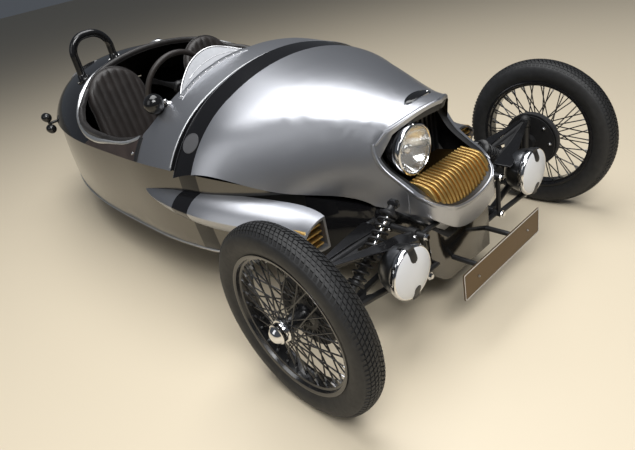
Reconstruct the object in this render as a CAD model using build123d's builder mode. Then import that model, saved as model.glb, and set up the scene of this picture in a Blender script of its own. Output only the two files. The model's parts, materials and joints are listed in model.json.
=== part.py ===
"""Three-wheeled open sports car with electric drive: two spoked wheels in front, one wheel in the tail.

The car faces -Y, its left side is +X and it stands on Z = 0. All sizes are in millimetres.
A station is a distance behind the front axle.
"""

import math
import os

from build123d import *

# Running gear
wheelbase = 2400.0
front_track = 1568.0
front_tyre_radius = 343.0
front_tyre_width = 97.0
front_bead_radius = 246.0
front_rim_width = 76.0
spoke_count = 40
spoke_radius = 2.2
drum_radius = 125.0
hub_radius = 30.0
hub_cap_reach = 96.0
rear_tyre_radius = 310.0
rear_tyre_width = 190.0
rear_bead_radius = 203.0
axle_radius = 14.0
running_fit = 0.05
moving_gap = 6.0
kingpin_x = 655.0
kingpin_radius = 10.0
upper_joint_z = 446.0
lower_joint_z = 244.0
arm_radius = 13.0
arm_web = 230.0
arm_spread = 58.0
eye_height = 28.0
drum_inner = 84.0
rail_x = 248.0
rail_radius = 14.0
lower_rail_z = 218.0
upper_rail_z = 384.0
damper_radius = 29.0
damper_foot_x = 560.0
damper_foot_z = 268.0
damper_head_x = 262.0
damper_head_z = 500.0

# Body envelope
tail_overhang = 590.0
tail_end = wheelbase + tail_overhang
plate_reach = 262.0
body_wall = 20.0
shell_wall = 12.0
hollow_drop = 7.0
bonnet_rear = 805.0
scuttle_rear = 1065.0
waist_height = 650.0
sill_height = 262.0
keel_height = 140.0
panel_gap = 2.0
slot_half = 125.0
slot_reach = 350.0
jack_x = 380.0
jack_stations = (900.0, 1800.0)
jack_pad = 90.0
jack_drop = 6.0

# Nose and mouth
nose_front = -150.0
nose_half = 206.0
nose_corner = 105.0
chin_step = 30.0
mouth_half = 222.0
mouth_back = 105.0
brow_reach = -42.0
lip_half = 186.0
fin_half = 157.0
lip_corner = 483.0
lip_low = 428.0
lip_under = 335.0
under_half = 194.0
under_corner = 428.0
fin_count = 15
fin_pitch = 20.5
fin_thickness = 12.0
slat_count = 15
slat_pitch = 28.0
pod_wall = 10.0
pod_fin_count = 4
headlamp_x = 110.0
headlamp_station = 9.0
headlamp_z = 636.0
headlamp_radius = 94.0
headlamp_bowl = 80.0
lamp_gap = 3.0
side_lamp_x = 404.0
side_lamp_station = -170.0
side_lamp_z = 350.0
lamp_flange = 22.0
bowl_depth = 115.0
bowl_radius = 90.0
cover_radius = 92.0
cover_rise = 20.0
plate_width = 520.0
plate_depth = 111.0
plate_z = 225.0

# Cockpit
cockpit_front = 985.0
cockpit_rear = 2012.0
cockpit_half = 640.0
cockpit_corner = 420.0
rim_height = 690.0
carpet_thickness = 9.0
dash_station = 975.0
dash_low = 690.0
cushion_x = 286.0
cushion_half = 194.0
seat_x = 312.0
seat_half = 196.0
seat_station = 1762.0
seat_lean = 10.0
seat_thickness = 62.0
seat_top = 762.0
driver_x = 300.0
steering_station = 1190.0
steering_z = 850.0
steering_radius = 172.0
column_tilt = 15.0
deflector_wall = 7.0
hoop_station = 2066.0
hoop_outer = -398.0
hoop_inner = -182.0
hoop_top = 1088.0
hoop_radius = 21.0
mirror_x = 522.0
mirror_station = 1020.0
mirror_z = 860.0
tail_lamp_x = 518.0
tail_lamp_reach = 230.0
tail_lamp_z = 586.0

# The origin is midway between the front of the front tyres and the tip of the tail
axle_y = (front_tyre_radius - tail_end) / 2
wheel_x = front_track / 2
floor_top = keel_height + body_wall

# Upper body: station, half width at the edge, edge height, crown height, fullness of the flanks
bonnet_rows = [
    (nose_front, 200, 325, 770, 1.0),
    (0, 214, 345, 786, 1.0),
    (130, 248, 458, 803, 0.9),
    (350, 400, 520, 856, 0.5),
    (520, 530, 590, 889, 0.2),
    (700, 620, 636, 922, 0.0),
    (950, 662, 650, 948, 0.0),
]
rear_rows = [
    (800, 645, 645, 936, 0.0),
    (930, 661, 649, 948, 0.0),
    (1065, 669, 650, 955, 0.0),
    (1250, 671, 650, 957, 0.0),
    (1480, 669, 650, 956, 0.1),
    (1700, 662, 650, 951, 0.2),
    (wheelbase - 300, 610, 650, 935, 0.2),
    (wheelbase, 528, 650, 908, 0.1),
    (wheelbase + 250, 422, 645, 862, 0.0),
    (tail_end - 140, 300, 635, 790, 0.0),
    (tail_end - 30, 180, 620, 715, 0.0),
    (tail_end, 90, 610, 668, 0.0),
]
# Lower body: station, half width at the waist, waist height, half width at the sill, half width of the keel
hull_rows = [
    (nose_front + chin_step, 198, 320, 198, 150),
    (0, 208, 410, 207, 160),
    (130, 232, 434, 228, 180),
    (350, 384, 508, 372, 295),
    (520, 512, 576, 500, 385),
    (700, 604, 624, 590, 450),
    (850, 630, 636, 622, 476),
    (scuttle_rear, 653, 644, 645, 496),
    (1280, 656, 644, 648, 498),
    (1500, 654, 644, 646, 496),
    (1700, 647, 644, 640, 490),
    (wheelbase - 300, 594, 644, 598, 450),
    (wheelbase, 512, 644, 530, 385),
    (wheelbase + 250, 406, 639, 440, 300),
    (tail_end - 140, 286, 629, 320, 200),
    (tail_end - 50, 186, 618, 210, 125),
    (tail_end - 12, 90, 604, 100, 55),
]
# Side pods: station, inner side, outer edge, top, edge height, underside
pod_rows = [
    (190, 425, 545, 482, 430, 352),
    (350, 440, 572, 505, 450, 366),
    (550, 530, 655, 535, 480, 390),
    (760, 600, 698, 548, 503, 425),
    (950, 640, 692, 535, 508, 468),
    (1090, 650, 662, 516, 508, 498),
]
# Side of the mouth opening: the arc at its back, then the arc down to the lip, each as station, height
mouth_arc = [(mouth_back, 703), (86, 630), (34, 576)]
lip_arc = [(-100, 494), (-119, 486), (-140, lip_corner)]
# Side of the cockpit cut: station, height
cut_side = [(985, 1100), (1002, 880), (1030, 790), (1100, 725), (1200, 698), (1320, rim_height), (1480, 695),
            (1640, 713), (1780, 752), (1890, 806), (1970, 872), (2015, 960), (2040, 1100)]


def at(x, station, z):
    """A point from its station behind the front axle."""
    return Vector(x, axle_y + station, z)


def cross_plane(station):
    """The upright plane across the car at a station, seen from the front."""
    return Plane(origin=at(0, station, 0), x_dir=(1, 0, 0), z_dir=(0, -1, 0))


def side_plane(x=0.0):
    """The upright plane along the car, its first axis running back from the front axle."""
    return Plane(origin=at(x, 0, 0), x_dir=(0, 1, 0), z_dir=(1, 0, 0))


def upper_section(station, half, edge, crown, fullness, inset=0.0, drop=0.0):
    """Outline of the upper body: a flank arc each side, a crown arc and a straight underside."""
    half, crown = half - inset, crown - inset
    edge = edge - drop
    rise = crown - edge
    flank = ((0.82 + 0.18 * fullness) * half, edge + (0.46 - 0.04 * fullness) * rise)
    shoulder = ((0.58 + 0.22 * fullness) * half, edge + (0.76 + 0.06 * fullness) * rise)
    low = edge - (30.0 if inset else 0.0)
    with BuildSketch(cross_plane(station)) as outline:
        with BuildLine():
            Line((-half, low), (half, low))
            if inset:
                Line((half, low), (half, edge))
            ThreePointArc((half, edge), flank, shoulder)
            ThreePointArc(shoulder, (0, crown), (-shoulder[0], shoulder[1]))
            ThreePointArc((-shoulder[0], shoulder[1]), (-flank[0], flank[1]), (-half, edge))
            if inset:
                Line((-half, edge), (-half, low))
        make_face()
    return outline.sketch


def lower_section(station, waist_half, waist, sill_half, keel_half, inset=0.0):
    """Outline of the lower body: bowed sides, a turn under each sill and a flat keel."""
    waist_half, sill_half, keel_half = waist_half - inset, sill_half - inset, keel_half - inset
    top = waist + (40.0 if inset else 0.0)
    keel = keel_height + inset
    sill = min(sill_height, waist - 20) + 0.4 * inset
    middle = ((waist_half + sill_half) / 2 + 8.0, (waist + sill) / 2)
    turn = ((sill_half + keel_half) / 2 + 12.0, (sill + keel) / 2 - 12.0)
    with BuildSketch(cross_plane(station)) as outline:
        with BuildLine():
            Line((-waist_half, top), (waist_half, top))
            if inset:
                Line((waist_half, top), (waist_half, waist))
            ThreePointArc((waist_half, waist), middle, (sill_half, sill))
            ThreePointArc((sill_half, sill), turn, (keel_half, keel))
            Line((keel_half, keel), (-keel_half, keel))
            ThreePointArc((-keel_half, keel), (-turn[0], turn[1]), (-sill_half, sill))
            ThreePointArc((-sill_half, sill), (-middle[0], middle[1]), (-waist_half, waist))
            if inset:
                Line((-waist_half, waist), (-waist_half, top))
        make_face()
    return outline.sketch


def bar(start, end, radius, mode=Mode.ADD):
    """Adds or cuts a round bar between two points in the piece in hand."""
    reach = end - start
    with BuildSketch(Plane(origin=start, z_dir=reach)) as section:
        Circle(radius)
    extrude(section.sketch, amount=reach.length, mode=mode)


def block(centre, size, mode=Mode.ADD):
    """Adds or cuts a square block given its centre and size."""
    with Locations(Location(centre)):
        Box(*size, mode=mode)


def slab(start, end, mode=Mode.SUBTRACT):
    """Adds or cuts everything between two stations."""
    block(at(0, (start + end) / 2, 600), (2000, end - start, 1400), mode)


def save(piece, name):
    """Labels a finished piece and writes it."""
    piece.label = name
    export_step(piece, f"parts/{name}.step")


def side_names(name):
    """Pairs each side's sign with the name of that side's piece: left is +X."""
    return ((1, f"{name}_left"), (-1, f"{name}_right"))


os.makedirs("parts", exist_ok=True)

# Bonnet: a shell open below and behind, its nose cut by the mouth and rounded at the corners
with BuildPart() as mouth_cut:
    with BuildSketch(side_plane()):
        with BuildLine():
            Line((mouth_back, 950), mouth_arc[0])
            ThreePointArc(*mouth_arc)
            Line(mouth_arc[-1], lip_arc[0])
            ThreePointArc(*lip_arc)
            Polyline([lip_arc[-1], (-220, lip_corner), (-220, 950), (mouth_back, 950)])
        make_face()
    extrude(amount=300, both=True)
    with BuildSketch(Plane(origin=at(0, 0, 400))):
        with BuildLine():
            ThreePointArc((-mouth_half, mouth_back), (-0.6 * mouth_half, 25), (0, brow_reach))
            ThreePointArc((0, brow_reach), (0.6 * mouth_half, 25), (mouth_half, mouth_back))
            Polyline([(mouth_half, mouth_back), (320, mouth_back), (320, -220), (-320, -220),
                      (-320, mouth_back), (-mouth_half, mouth_back)])
        make_face()
    extrude(amount=600, mode=Mode.INTERSECT)
    with BuildSketch(cross_plane(-40)):
        with BuildLine():
            Polyline([(-lip_half, lip_corner), (-lip_half, 600), (lip_half, 600), (lip_half, lip_corner)])
            ThreePointArc((lip_half, lip_corner), (0, lip_low), (-lip_half, lip_corner))
        make_face()
    extrude(amount=150)


def nose_corners(front, inset=0.0):
    """What rounds the two corners of the nose in plan."""
    start = at(nose_half - nose_corner - 12 - inset / 2, front - 12 + inset, 0)
    middle = at(nose_half - 0.29 * nose_corner - 0.7 * inset, front + 0.29 * nose_corner + 0.7 * inset, 0)
    end = at(nose_half + 6 - inset, front + nose_corner + 20, 0)
    with BuildPart() as outside:
        for side in (1, -1):
            with BuildSketch(Plane.XY):
                with BuildLine():
                    arc = [(side * point.X, point.Y) for point in (start, middle, end)]
                    ThreePointArc(*arc)
                    Polyline([arc[2], (side * 400, arc[2][1]), (side * 400, arc[0][1] - 60),
                              (arc[0][0], arc[0][1] - 60), arc[0]])
                make_face()
            extrude(amount=1000)
    return outside.part


with BuildPart() as nose_under:
    with BuildSketch(cross_plane(130)):
        with BuildLine():
            ThreePointArc((-under_half, under_corner), (0, lip_under), (under_half, under_corner))
            Polyline([(under_half, under_corner), (260, 456), (260, 250), (-260, 250), (-260, 456),
                      (-under_half, under_corner)])
        make_face()
    extrude(amount=330)

with BuildPart() as bonnet_hollow:
    hollow_rows = [(nose_front + shell_wall,) + bonnet_rows[0][1:]] + bonnet_rows[1:]
    loft([upper_section(*row, inset=shell_wall) for row in hollow_rows])
    add(nose_corners(nose_front, shell_wall), mode=Mode.SUBTRACT)

with BuildPart() as bonnet:
    loft([upper_section(*row) for row in bonnet_rows])
    add(nose_corners(nose_front), mode=Mode.SUBTRACT)
    add(bonnet_hollow.part, mode=Mode.SUBTRACT)
    add(mouth_cut.part, mode=Mode.SUBTRACT)
    add(nose_under.part, mode=Mode.SUBTRACT)
    slab(bonnet_rear, tail_end + 100)
save(bonnet.part, "bonnet")

# Rear upper body: one shell parted into the scuttle and the tail deck, with the cockpit cut through
with BuildPart() as cockpit_cut:
    with BuildSketch(Plane.XY.offset(floor_top)):
        with Locations((0, axle_y + (cockpit_front + cockpit_rear) / 2)):
            RectangleRounded(2 * cockpit_half, cockpit_rear - cockpit_front, cockpit_corner)
    extrude(amount=1000)
    with BuildSketch(side_plane()):
        with BuildLine():
            Spline(*cut_side)
            Line(cut_side[-1], cut_side[0])
        make_face()
    extrude(amount=800, both=True)

with BuildPart() as rear_shell:
    loft([upper_section(*row) for row in rear_rows])
    hollow_rows = rear_rows[:-1] + [(tail_end - 20, 90, 610, 668, 0.0)]
    loft([upper_section(*row, inset=shell_wall, drop=hollow_drop) for row in hollow_rows], mode=Mode.SUBTRACT)
    add(cockpit_cut.part, mode=Mode.SUBTRACT)

with BuildPart() as scuttle:
    add(rear_shell.part)
    slab(0, bonnet_rear + panel_gap)
    slab(scuttle_rear, tail_end + 100)
save(scuttle.part, "scuttle")

with BuildPart() as tail_deck:
    add(rear_shell.part)
    slab(0, scuttle_rear + panel_gap)
save(tail_deck.part, "tail_deck")

# Hull: the hollow lower body, open above, with a slot under the tail for the rear wheel
with BuildPart() as hull_solid:
    loft([lower_section(*row) for row in hull_rows])

with BuildPart() as hull_hollow:
    first, last = hull_rows[0], hull_rows[-1]
    hollow_rows = [(first[0] + body_wall,) + first[1:]] + hull_rows[1:-1] + [(last[0] - 40,) + last[1:]]
    loft([lower_section(*row, inset=body_wall) for row in hollow_rows])
    add(nose_corners(nose_front + chin_step, body_wall), mode=Mode.SUBTRACT)

with BuildPart() as hull:
    add(hull_solid.part)
    add(nose_corners(nose_front + chin_step), mode=Mode.SUBTRACT)
    add(hull_hollow.part, mode=Mode.SUBTRACT)
    block(at(0, wheelbase, keel_height), (2 * slot_half, 2 * slot_reach, 160), Mode.SUBTRACT)
    for station in jack_stations:
        for side in (1, -1):
            block(at(side * jack_x, station, keel_height), (jack_pad, jack_pad, 2 * jack_drop))


def pod_section(side, station, inner, outer, top, edge, under, inset=0.0):
    """Outline of a side pod: flat against the body, a long arc over it and a shorter one under it."""
    inner, outer, top, under = inner + inset, outer - inset, top - inset, under + inset
    high = (side * (0.45 * inner + 0.55 * outer), top - 0.18 * (top - edge))
    low = (side * (0.35 * inner + 0.65 * outer), under + 0.25 * (edge - under))
    with BuildSketch(cross_plane(station)) as outline:
        with BuildLine():
            Line((side * inner, under), (side * inner, top))
            ThreePointArc((side * inner, top), high, (side * outer, edge))
            ThreePointArc((side * outer, edge), low, (side * inner, under))
        make_face()
    return outline.sketch


# Side pods: torpedo shapes that stand off the hull's flanks, open in front, with fins in the opening
pods = {}
for side, name in side_names("pod"):
    with BuildPart() as pod:
        loft([pod_section(side, *row) for row in pod_rows])
        loft([pod_section(side, *row, inset=pod_wall) for row in pod_rows[:3]], mode=Mode.SUBTRACT)
        add(hull_solid.part, mode=Mode.SUBTRACT)
    pods[side] = pod.part
    save(pod.part, name)

with BuildPart() as pod_fins:
    station, inner, outer, top, edge, under = pod_rows[0]
    for side in (1, -1):
        block(at(side * (inner + outer) / 2, station + 80, (top + under) / 2 + 2), (80, 8, 78))
        for step in range(pod_fin_count):
            z = under + 26 + step * (top - under - 52) / (pod_fin_count - 1)
            block(at(side * (inner + outer) / 2, station + 45, z), (80, 70, 7))
        add(pods[side], mode=Mode.SUBTRACT)
save(pod_fins.part, "pod_fins")

# Fins on the mouth's floor: upright plates along the car on one web, each bent down to the lip
with BuildPart() as nose_fins:
    for step in range(fin_count):
        x = (step - (fin_count - 1) / 2) * fin_pitch
        low = lip_low + (lip_corner - lip_low) * (x / fin_half) ** 2 + 4
        with BuildSketch(side_plane(x - fin_thickness / 2)):
            with BuildLine():
                Polyline([(-122, low), (-112, low + 32), (-70, low + 68), (90, low + 112), (90, 400),
                          (-122, 400)], close=True)
            make_face()
        extrude(amount=fin_thickness)
    block(at(0, -16, 402), (2 * fin_half - 20, 212, 12))
    bar(at(-headlamp_x, headlamp_station - 6, headlamp_z), at(-headlamp_x, headlamp_station + 40, headlamp_z),
        headlamp_radius + lamp_gap, Mode.SUBTRACT)
    with Locations(Location(at(-headlamp_x, headlamp_station + 38, headlamp_z))):
        Sphere(headlamp_bowl + lamp_gap, mode=Mode.SUBTRACT)
    bar(at(-headlamp_x, headlamp_station, headlamp_z), at(-headlamp_x, 140, headlamp_z), 14 + lamp_gap,
        Mode.SUBTRACT)
save(nose_fins.part, "nose_fins")

# Slats: upright bars on a backing panel behind the mouth
with BuildPart() as slats:
    for step in range(slat_count):
        block(at((step - (slat_count - 1) / 2) * slat_pitch, 150, 600), (12, 26, 400))
    block(at(0, 169, 600), (600, 12, 400))
    extrude(upper_section(180, 244, 480, 800, 0.9, inset=shell_wall + 2), amount=60, mode=Mode.INTERSECT)
save(slats.part, "slats")

# Headlamp: a round shell with a domed lens, on a post inside the mouth
with BuildPart() as headlamp:
    with BuildSketch(side_plane()):
        with BuildLine():
            Polyline([(0, 0), (0, headlamp_radius), (24, headlamp_radius), (24, 88), (38, headlamp_bowl)])
            CenterArc((38, 0), headlamp_bowl, 0, 90)
            Line((38 + headlamp_bowl, 0), (0, 0))
        make_face()
    revolve(axis=Axis(at(0, 0, 0), (0, 1, 0)))
    bar(at(0, 90, 0), at(0, 128, 0), 14)
save(headlamp.part.moved(Location((-headlamp_x, headlamp_station, headlamp_z))), "headlamp")

# Side lamps: deep bowls on the frame's bracket arms, each with a round cover
bowl_rise = bowl_depth - lamp_flange
bowl_sphere = (bowl_radius ** 2 + bowl_rise ** 2) / (2 * bowl_rise)
bowl_centre = bowl_depth - bowl_sphere
bowl_angle = math.degrees(math.atan2(bowl_radius, lamp_flange - bowl_centre))
side_lamps = {}
for side, name in side_names("side_lamp"):
    with BuildPart() as lamp:
        with BuildSketch(side_plane()):
            with BuildLine():
                Polyline([(0, 0), (0, cover_radius), (10, 97), (lamp_flange, 97), (lamp_flange, bowl_radius)])
                CenterArc((bowl_centre, 0), bowl_sphere, bowl_angle, -bowl_angle)
                Line((bowl_depth, 0), (0, 0))
            make_face()
        revolve(axis=Axis(at(0, 0, 0), (0, 1, 0)))
    side_lamps[side] = lamp.part.moved(Location((side * side_lamp_x, side_lamp_station, side_lamp_z)))
    save(side_lamps[side], name)

cover_sphere = (cover_radius ** 2 + cover_rise ** 2) / (2 * cover_rise)
cover_centre = cover_sphere - cover_rise
cover_angle = math.degrees(math.asin(cover_radius / cover_sphere))
with BuildPart() as lamp_covers:
    with BuildSketch(side_plane()):
        with BuildLine():
            Line((0, 0), (0, cover_radius))
            CenterArc((cover_centre, 0), cover_sphere, 180, -cover_angle)
            Line((cover_centre - cover_sphere, 0), (0, 0))
        make_face()
    revolve(axis=Axis(at(0, 0, 0), (0, 1, 0)))
covers = [lamp_covers.part.moved(Location((side * side_lamp_x, side_lamp_station, side_lamp_z)))
          for side in (1, -1)]
save(Compound(children=covers), "lamp_covers")

# Front frame: two rails along the nose on each side, tied through the hull, with the lamp posts
rail_heights = (lower_rail_z, upper_rail_z)
with BuildPart() as front_frame:
    for z in rail_heights:
        for station in (-88, 110):
            bar(at(-rail_x, station, z), at(rail_x, station, z), rail_radius - 4)
        for side in (1, -1):
            bar(at(side * rail_x, -112, z), at(side * rail_x, 130, z), rail_radius)
    for side in (1, -1):
        bar(at(side * rail_x, -98, lower_rail_z), at(side * rail_x, -98, upper_rail_z), 9)
        post = at(side * side_lamp_x, side_lamp_station + 45, side_lamp_z - 112)
        bar(at(side * rail_x, -98, lower_rail_z), post, 11)
        bar(post, at(side * side_lamp_x, side_lamp_station + 45, side_lamp_z - 60), 13)
        add(side_lamps[side], mode=Mode.SUBTRACT)
save(front_frame.part, "front_frame")

with BuildPart() as bored_hull:
    add(hull.part)
    add(front_frame.part, mode=Mode.SUBTRACT)
save(bored_hull.part, "hull")

# Front arms: an upper and a lower wishbone each side, sleeved on the rails and eyed on the kingpin
upright_low = lower_joint_z + eye_height / 2 + moving_gap
upright_high = upper_joint_z - eye_height / 2 - moving_gap
joints = ((lower_joint_z, lower_rail_z), (upper_joint_z, upper_rail_z))
front_arms = {}
for side, name in side_names("front_arms"):
    with BuildPart() as arms:
        for joint_z, rail_z in joints:
            bar(at(side * kingpin_x, 0, joint_z - eye_height / 2), at(side * kingpin_x, 0, joint_z + eye_height / 2),
                22)
            reach = at(side * rail_x, 0, rail_z) - at(side * kingpin_x, 0, joint_z)
            web_plane = Plane(origin=at(side * kingpin_x, 0, joint_z), x_dir=reach, z_dir=reach.cross(Vector(0, 1, 0)))
            with BuildSketch(web_plane) as web:
                Polygon((0, 8), (0, -8), (arm_web, -arm_web * arm_spread / reach.length),
                        (0.8 * arm_web, 0), (arm_web, arm_web * arm_spread / reach.length), align=None)
            extrude(web.sketch, amount=3, both=True)
            for end in (-1, 1):
                root = at(side * rail_x, end * arm_spread, rail_z)
                bar(root, at(side * kingpin_x, 0, joint_z), arm_radius)
                bar(at(side * rail_x, end * arm_spread - 18, rail_z),
                    at(side * rail_x, end * arm_spread + 18, rail_z), rail_radius + 7)
        for joint_z, rail_z in joints:
            bar(at(side * rail_x, -130, rail_z), at(side * rail_x, 150, rail_z), rail_radius, Mode.SUBTRACT)
        bar(at(side * damper_foot_x, -damper_radius, damper_foot_z - 12),
            at(side * damper_foot_x, damper_radius, damper_foot_z - 12), 12)
        bar(at(side * kingpin_x, 0, 100), at(side * kingpin_x, 0, 600), kingpin_radius + running_fit, Mode.SUBTRACT)
    front_arms[side] = arms.part
    save(arms.part, name)

# Dampers: a coil around a body, from the lower arm up to the nose
for side, name in side_names("damper"):
    foot = at(side * damper_foot_x, 0, damper_foot_z)
    head = at(side * damper_head_x, 0, damper_head_z)
    with BuildPart() as damper:
        bar(foot, head, 13)
        lean = (head - foot).normalized()
        bar(foot + lean * 45, head - lean * 30, damper_radius)
        add(front_arms[side], mode=Mode.SUBTRACT)
    save(damper.part, name)

# Knuckles: upright, kingpin, stub axle, brake backplate and steering arm of each steered wheel
hub_z = front_tyre_radius
backplate_x = wheel_x - drum_inner - moving_gap
for side, name in side_names("knuckle"):
    with BuildPart() as knuckle:
        bar(at(side * kingpin_x, 0, lower_joint_z - 18), at(side * kingpin_x, 0, upper_joint_z + 18), kingpin_radius)
        bar(at(side * kingpin_x, 0, upright_low), at(side * kingpin_x, 0, upright_high), 18)
        bar(at(side * kingpin_x, 0, hub_z), at(side * backplate_x, 0, hub_z), 34)
        bar(at(side * (backplate_x - 8), 0, hub_z), at(side * backplate_x, 0, hub_z), drum_radius - 6)
        bar(at(side * backplate_x, 0, hub_z), at(side * (wheel_x + 44), 0, hub_z), axle_radius)
        bar(at(side * kingpin_x, 0, hub_z - 45), at(side * (kingpin_x - 25), 110, hub_z - 45), 10)
    save(knuckle.part, name)


def ring_face(side, x, z, station, outline):
    """A face to revolve about a wheel's axle: points are distance outboard of the wheel, radius."""
    origin = at(side * x, station, z)
    with BuildSketch(Plane(origin=origin, x_dir=(side, 0, 0), z_dir=(0, -side, 0))) as face:
        with BuildLine():
            Polyline(outline, close=True)
        make_face()
    return face.sketch


def tyre_face(side, x, z, station, radius, width, bead, bead_half):
    """Section of a tyre: straight beads, round walls and a crowned tread."""
    half = width / 2
    with BuildSketch(Plane(origin=at(side * x, station, z), x_dir=(side, 0, 0), z_dir=(0, -side, 0))) as face:
        with BuildLine():
            wall = (bead + 16, bead + 0.5 * (radius - bead), radius - 0.09 * radius / 3.43)
            for s in (1, -1):
                Line((s * (bead_half + 7), wall[0]), (s * bead_half, wall[0] - 3))
                Line((s * bead_half, wall[0] - 3), (s * bead_half, bead + 0.2))
                ThreePointArc((s * (bead_half + 7), wall[0]), (s * half, wall[1]), (s * 0.66 * half, wall[2]))
            ThreePointArc((0.66 * half, wall[2]), (0, radius), (-0.66 * half, wall[2]))
            Line((bead_half, bead + 0.2), (-bead_half, bead + 0.2))
        make_face()
    return face.sketch


def axle_line(x, station, z):
    """The axis of a wheel, across the car."""
    return Axis(at(x, station, z), (1, 0, 0))


# Front wheels: tyre, spoked rim with hub and brake drum, and hub cap
bead_half = 31.0
rim_half = front_rim_width / 2
flange = front_bead_radius + 10
rim_outline = [(-rim_half, flange), (-bead_half, flange), (-bead_half, front_bead_radius), (-20, front_bead_radius),
               (-18, 238), (18, 238), (20, front_bead_radius), (bead_half, front_bead_radius),
               (bead_half, flange), (rim_half, flange), (rim_half, 241), (22, 231), (-22, 231), (-rim_half, 241)]
bore = axle_radius + running_fit
hub_outline = [(-50, bore), (-50, 50), (-42, 50), (-36, hub_radius), (34, hub_radius - 4), (40, 42), (46, 42),
               (46, bore)]
drum_outline = [(-drum_inner, drum_radius - 6), (-drum_inner, drum_radius), (-54, drum_radius), (-46, 112),
                (-46, 40), (-52, 40), (-52, 108), (-58, drum_radius - 6)]


def spoke(side, step):
    """One spoke, from the inboard or outboard hub flange to the rim, leaning round the hub."""
    inboard = step % 2 == 0
    lean = math.radians(52 if step % 4 < 2 else -52)
    angle = math.radians(360 * step / spoke_count)
    hub_offset, hub_ring = (-46, 46) if inboard else (43, 38)
    rim_offset = -8 if inboard else 8
    start = at(side * (wheel_x + hub_offset), hub_ring * math.cos(angle + lean),
               hub_z + hub_ring * math.sin(angle + lean))
    end = at(side * (wheel_x + rim_offset), 234 * math.cos(angle), hub_z + 234 * math.sin(angle))
    return Solid.make_cylinder(spoke_radius, (end - start).length, Plane(origin=start, z_dir=end - start))


for side, name in side_names("front_tyre"):
    with BuildPart() as tyre:
        revolve(tyre_face(side, wheel_x, hub_z, 0, front_tyre_radius, front_tyre_width, front_bead_radius,
                          bead_half), axis=axle_line(side * wheel_x, 0, hub_z))
    save(tyre.part, name)

for side, name in side_names("front_wheel"):
    with BuildPart() as wheel:
        for outline in (rim_outline, hub_outline, drum_outline):
            revolve(ring_face(side, wheel_x, hub_z, 0, outline), axis=axle_line(side * wheel_x, 0, hub_z))
        add([spoke(side, step) for step in range(spoke_count)])
    save(wheel.part, name)

cap_outline = [(46, 0), (46, 36), (58, 40), (74, 32), (90, 24), (hub_cap_reach, 14), (hub_cap_reach, 0)]
for side, name in side_names("hub_cap"):
    with BuildPart() as cap:
        revolve(ring_face(side, wheel_x, hub_z, 0, cap_outline), axis=axle_line(side * wheel_x, 0, hub_z))
    save(cap.part, name)

# Rear wheel: tyre and disc wheel on the swing arm's axle
rear_half = 78.0
rear_axle = axle_line(0, wheelbase, rear_tyre_radius)
rear_rim = [(-rear_half - 8, 213), (-rear_half, 213), (-rear_half, rear_bead_radius), (rear_half, rear_bead_radius),
            (rear_half, 213), (rear_half + 8, 213), (rear_half + 8, 192), (12, 186), (12, 60), (60, 44), (60, bore),
            (-60, bore), (-60, 44), (-12, 60), (-12, 186), (-rear_half - 8, 192)]
with BuildPart() as rear_tyre:
    revolve(tyre_face(1, 0, rear_tyre_radius, wheelbase, rear_tyre_radius, rear_tyre_width, rear_bead_radius,
                      rear_half), axis=rear_axle)
save(rear_tyre.part, "rear_tyre")

with BuildPart() as rear_wheel:
    revolve(ring_face(1, 0, rear_tyre_radius, wheelbase, rear_rim), axis=rear_axle)
save(rear_wheel.part, "rear_wheel")

# Swing arm: two beams and the rear axle, pivoted on feet that stand on the hull's floor
arm_length = 365.0
pivot_station = wheelbase - arm_length
beam_x = 128.0
with BuildPart() as swing_arm:
    bar(at(-190, pivot_station, rear_tyre_radius), at(190, pivot_station, rear_tyre_radius), 18)
    bar(at(-beam_x, wheelbase, rear_tyre_radius), at(beam_x, wheelbase, rear_tyre_radius), axle_radius)
    for side in (1, -1):
        bar(at(side * beam_x, pivot_station, rear_tyre_radius), at(side * beam_x, wheelbase + 30, rear_tyre_radius), 17)
        block(at(side * 200, pivot_station, (floor_top + rear_tyre_radius + 24) / 2),
              (24, 70, rear_tyre_radius + 24 - floor_top))
        for sign in (1, -1):
            bar(at(side * 61, wheelbase, rear_tyre_radius), at(side * 111, wheelbase, rear_tyre_radius), 24)
save(swing_arm.part, "swing_arm")

# Motor and battery: one plain block each
motor_size = (180, 240, 240)
motor_lead = 160.0
battery_size = (420, 340, 290)
battery_station = 500.0
with BuildPart() as motor:
    block(at(255, wheelbase - motor_lead, floor_top + motor_size[2] / 2), motor_size)
save(motor.part, "motor")

with BuildPart() as battery:
    block(at(0, battery_station, floor_top + battery_size[2] / 2), battery_size)
save(battery.part, "battery")

# Number plate: blank, on a bracket of two stays and a cross piece
with BuildPart() as number_plate:
    with BuildSketch(cross_plane(4 - plate_reach)):
        with Locations((0, plate_z)):
            RectangleRounded(plate_width, plate_depth, 8)
    extrude(amount=4)
save(number_plate.part, "number_plate")

with BuildPart() as plate_bracket:
    block(at(0, 10 - plate_reach, plate_z), (430, 12, 26))
    for side in (1, -1):
        bar(at(side * 115, -60, plate_z), at(side * 115, 6 - plate_reach, plate_z), 10)
    add(hull_solid.part, mode=Mode.SUBTRACT)
save(plate_bracket.part, "plate_bracket")

# Cockpit: carpet, dashboard, bench cushion and back
with BuildPart() as carpet:
    block(at(0, 1340, floor_top + carpet_thickness / 2), (840, 1240, carpet_thickness))
save(carpet.part, "carpet")

with BuildPart() as dashboard:
    loft([upper_section(*row, inset=shell_wall + 2, drop=hollow_drop) for row in rear_rows])
    slab(700, dash_station - 20)
    slab(dash_station, tail_end + 100)
    block(at(0, dash_station, dash_low - 200), (1400, 400, 400), Mode.SUBTRACT)
save(dashboard.part, "dashboard")

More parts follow.
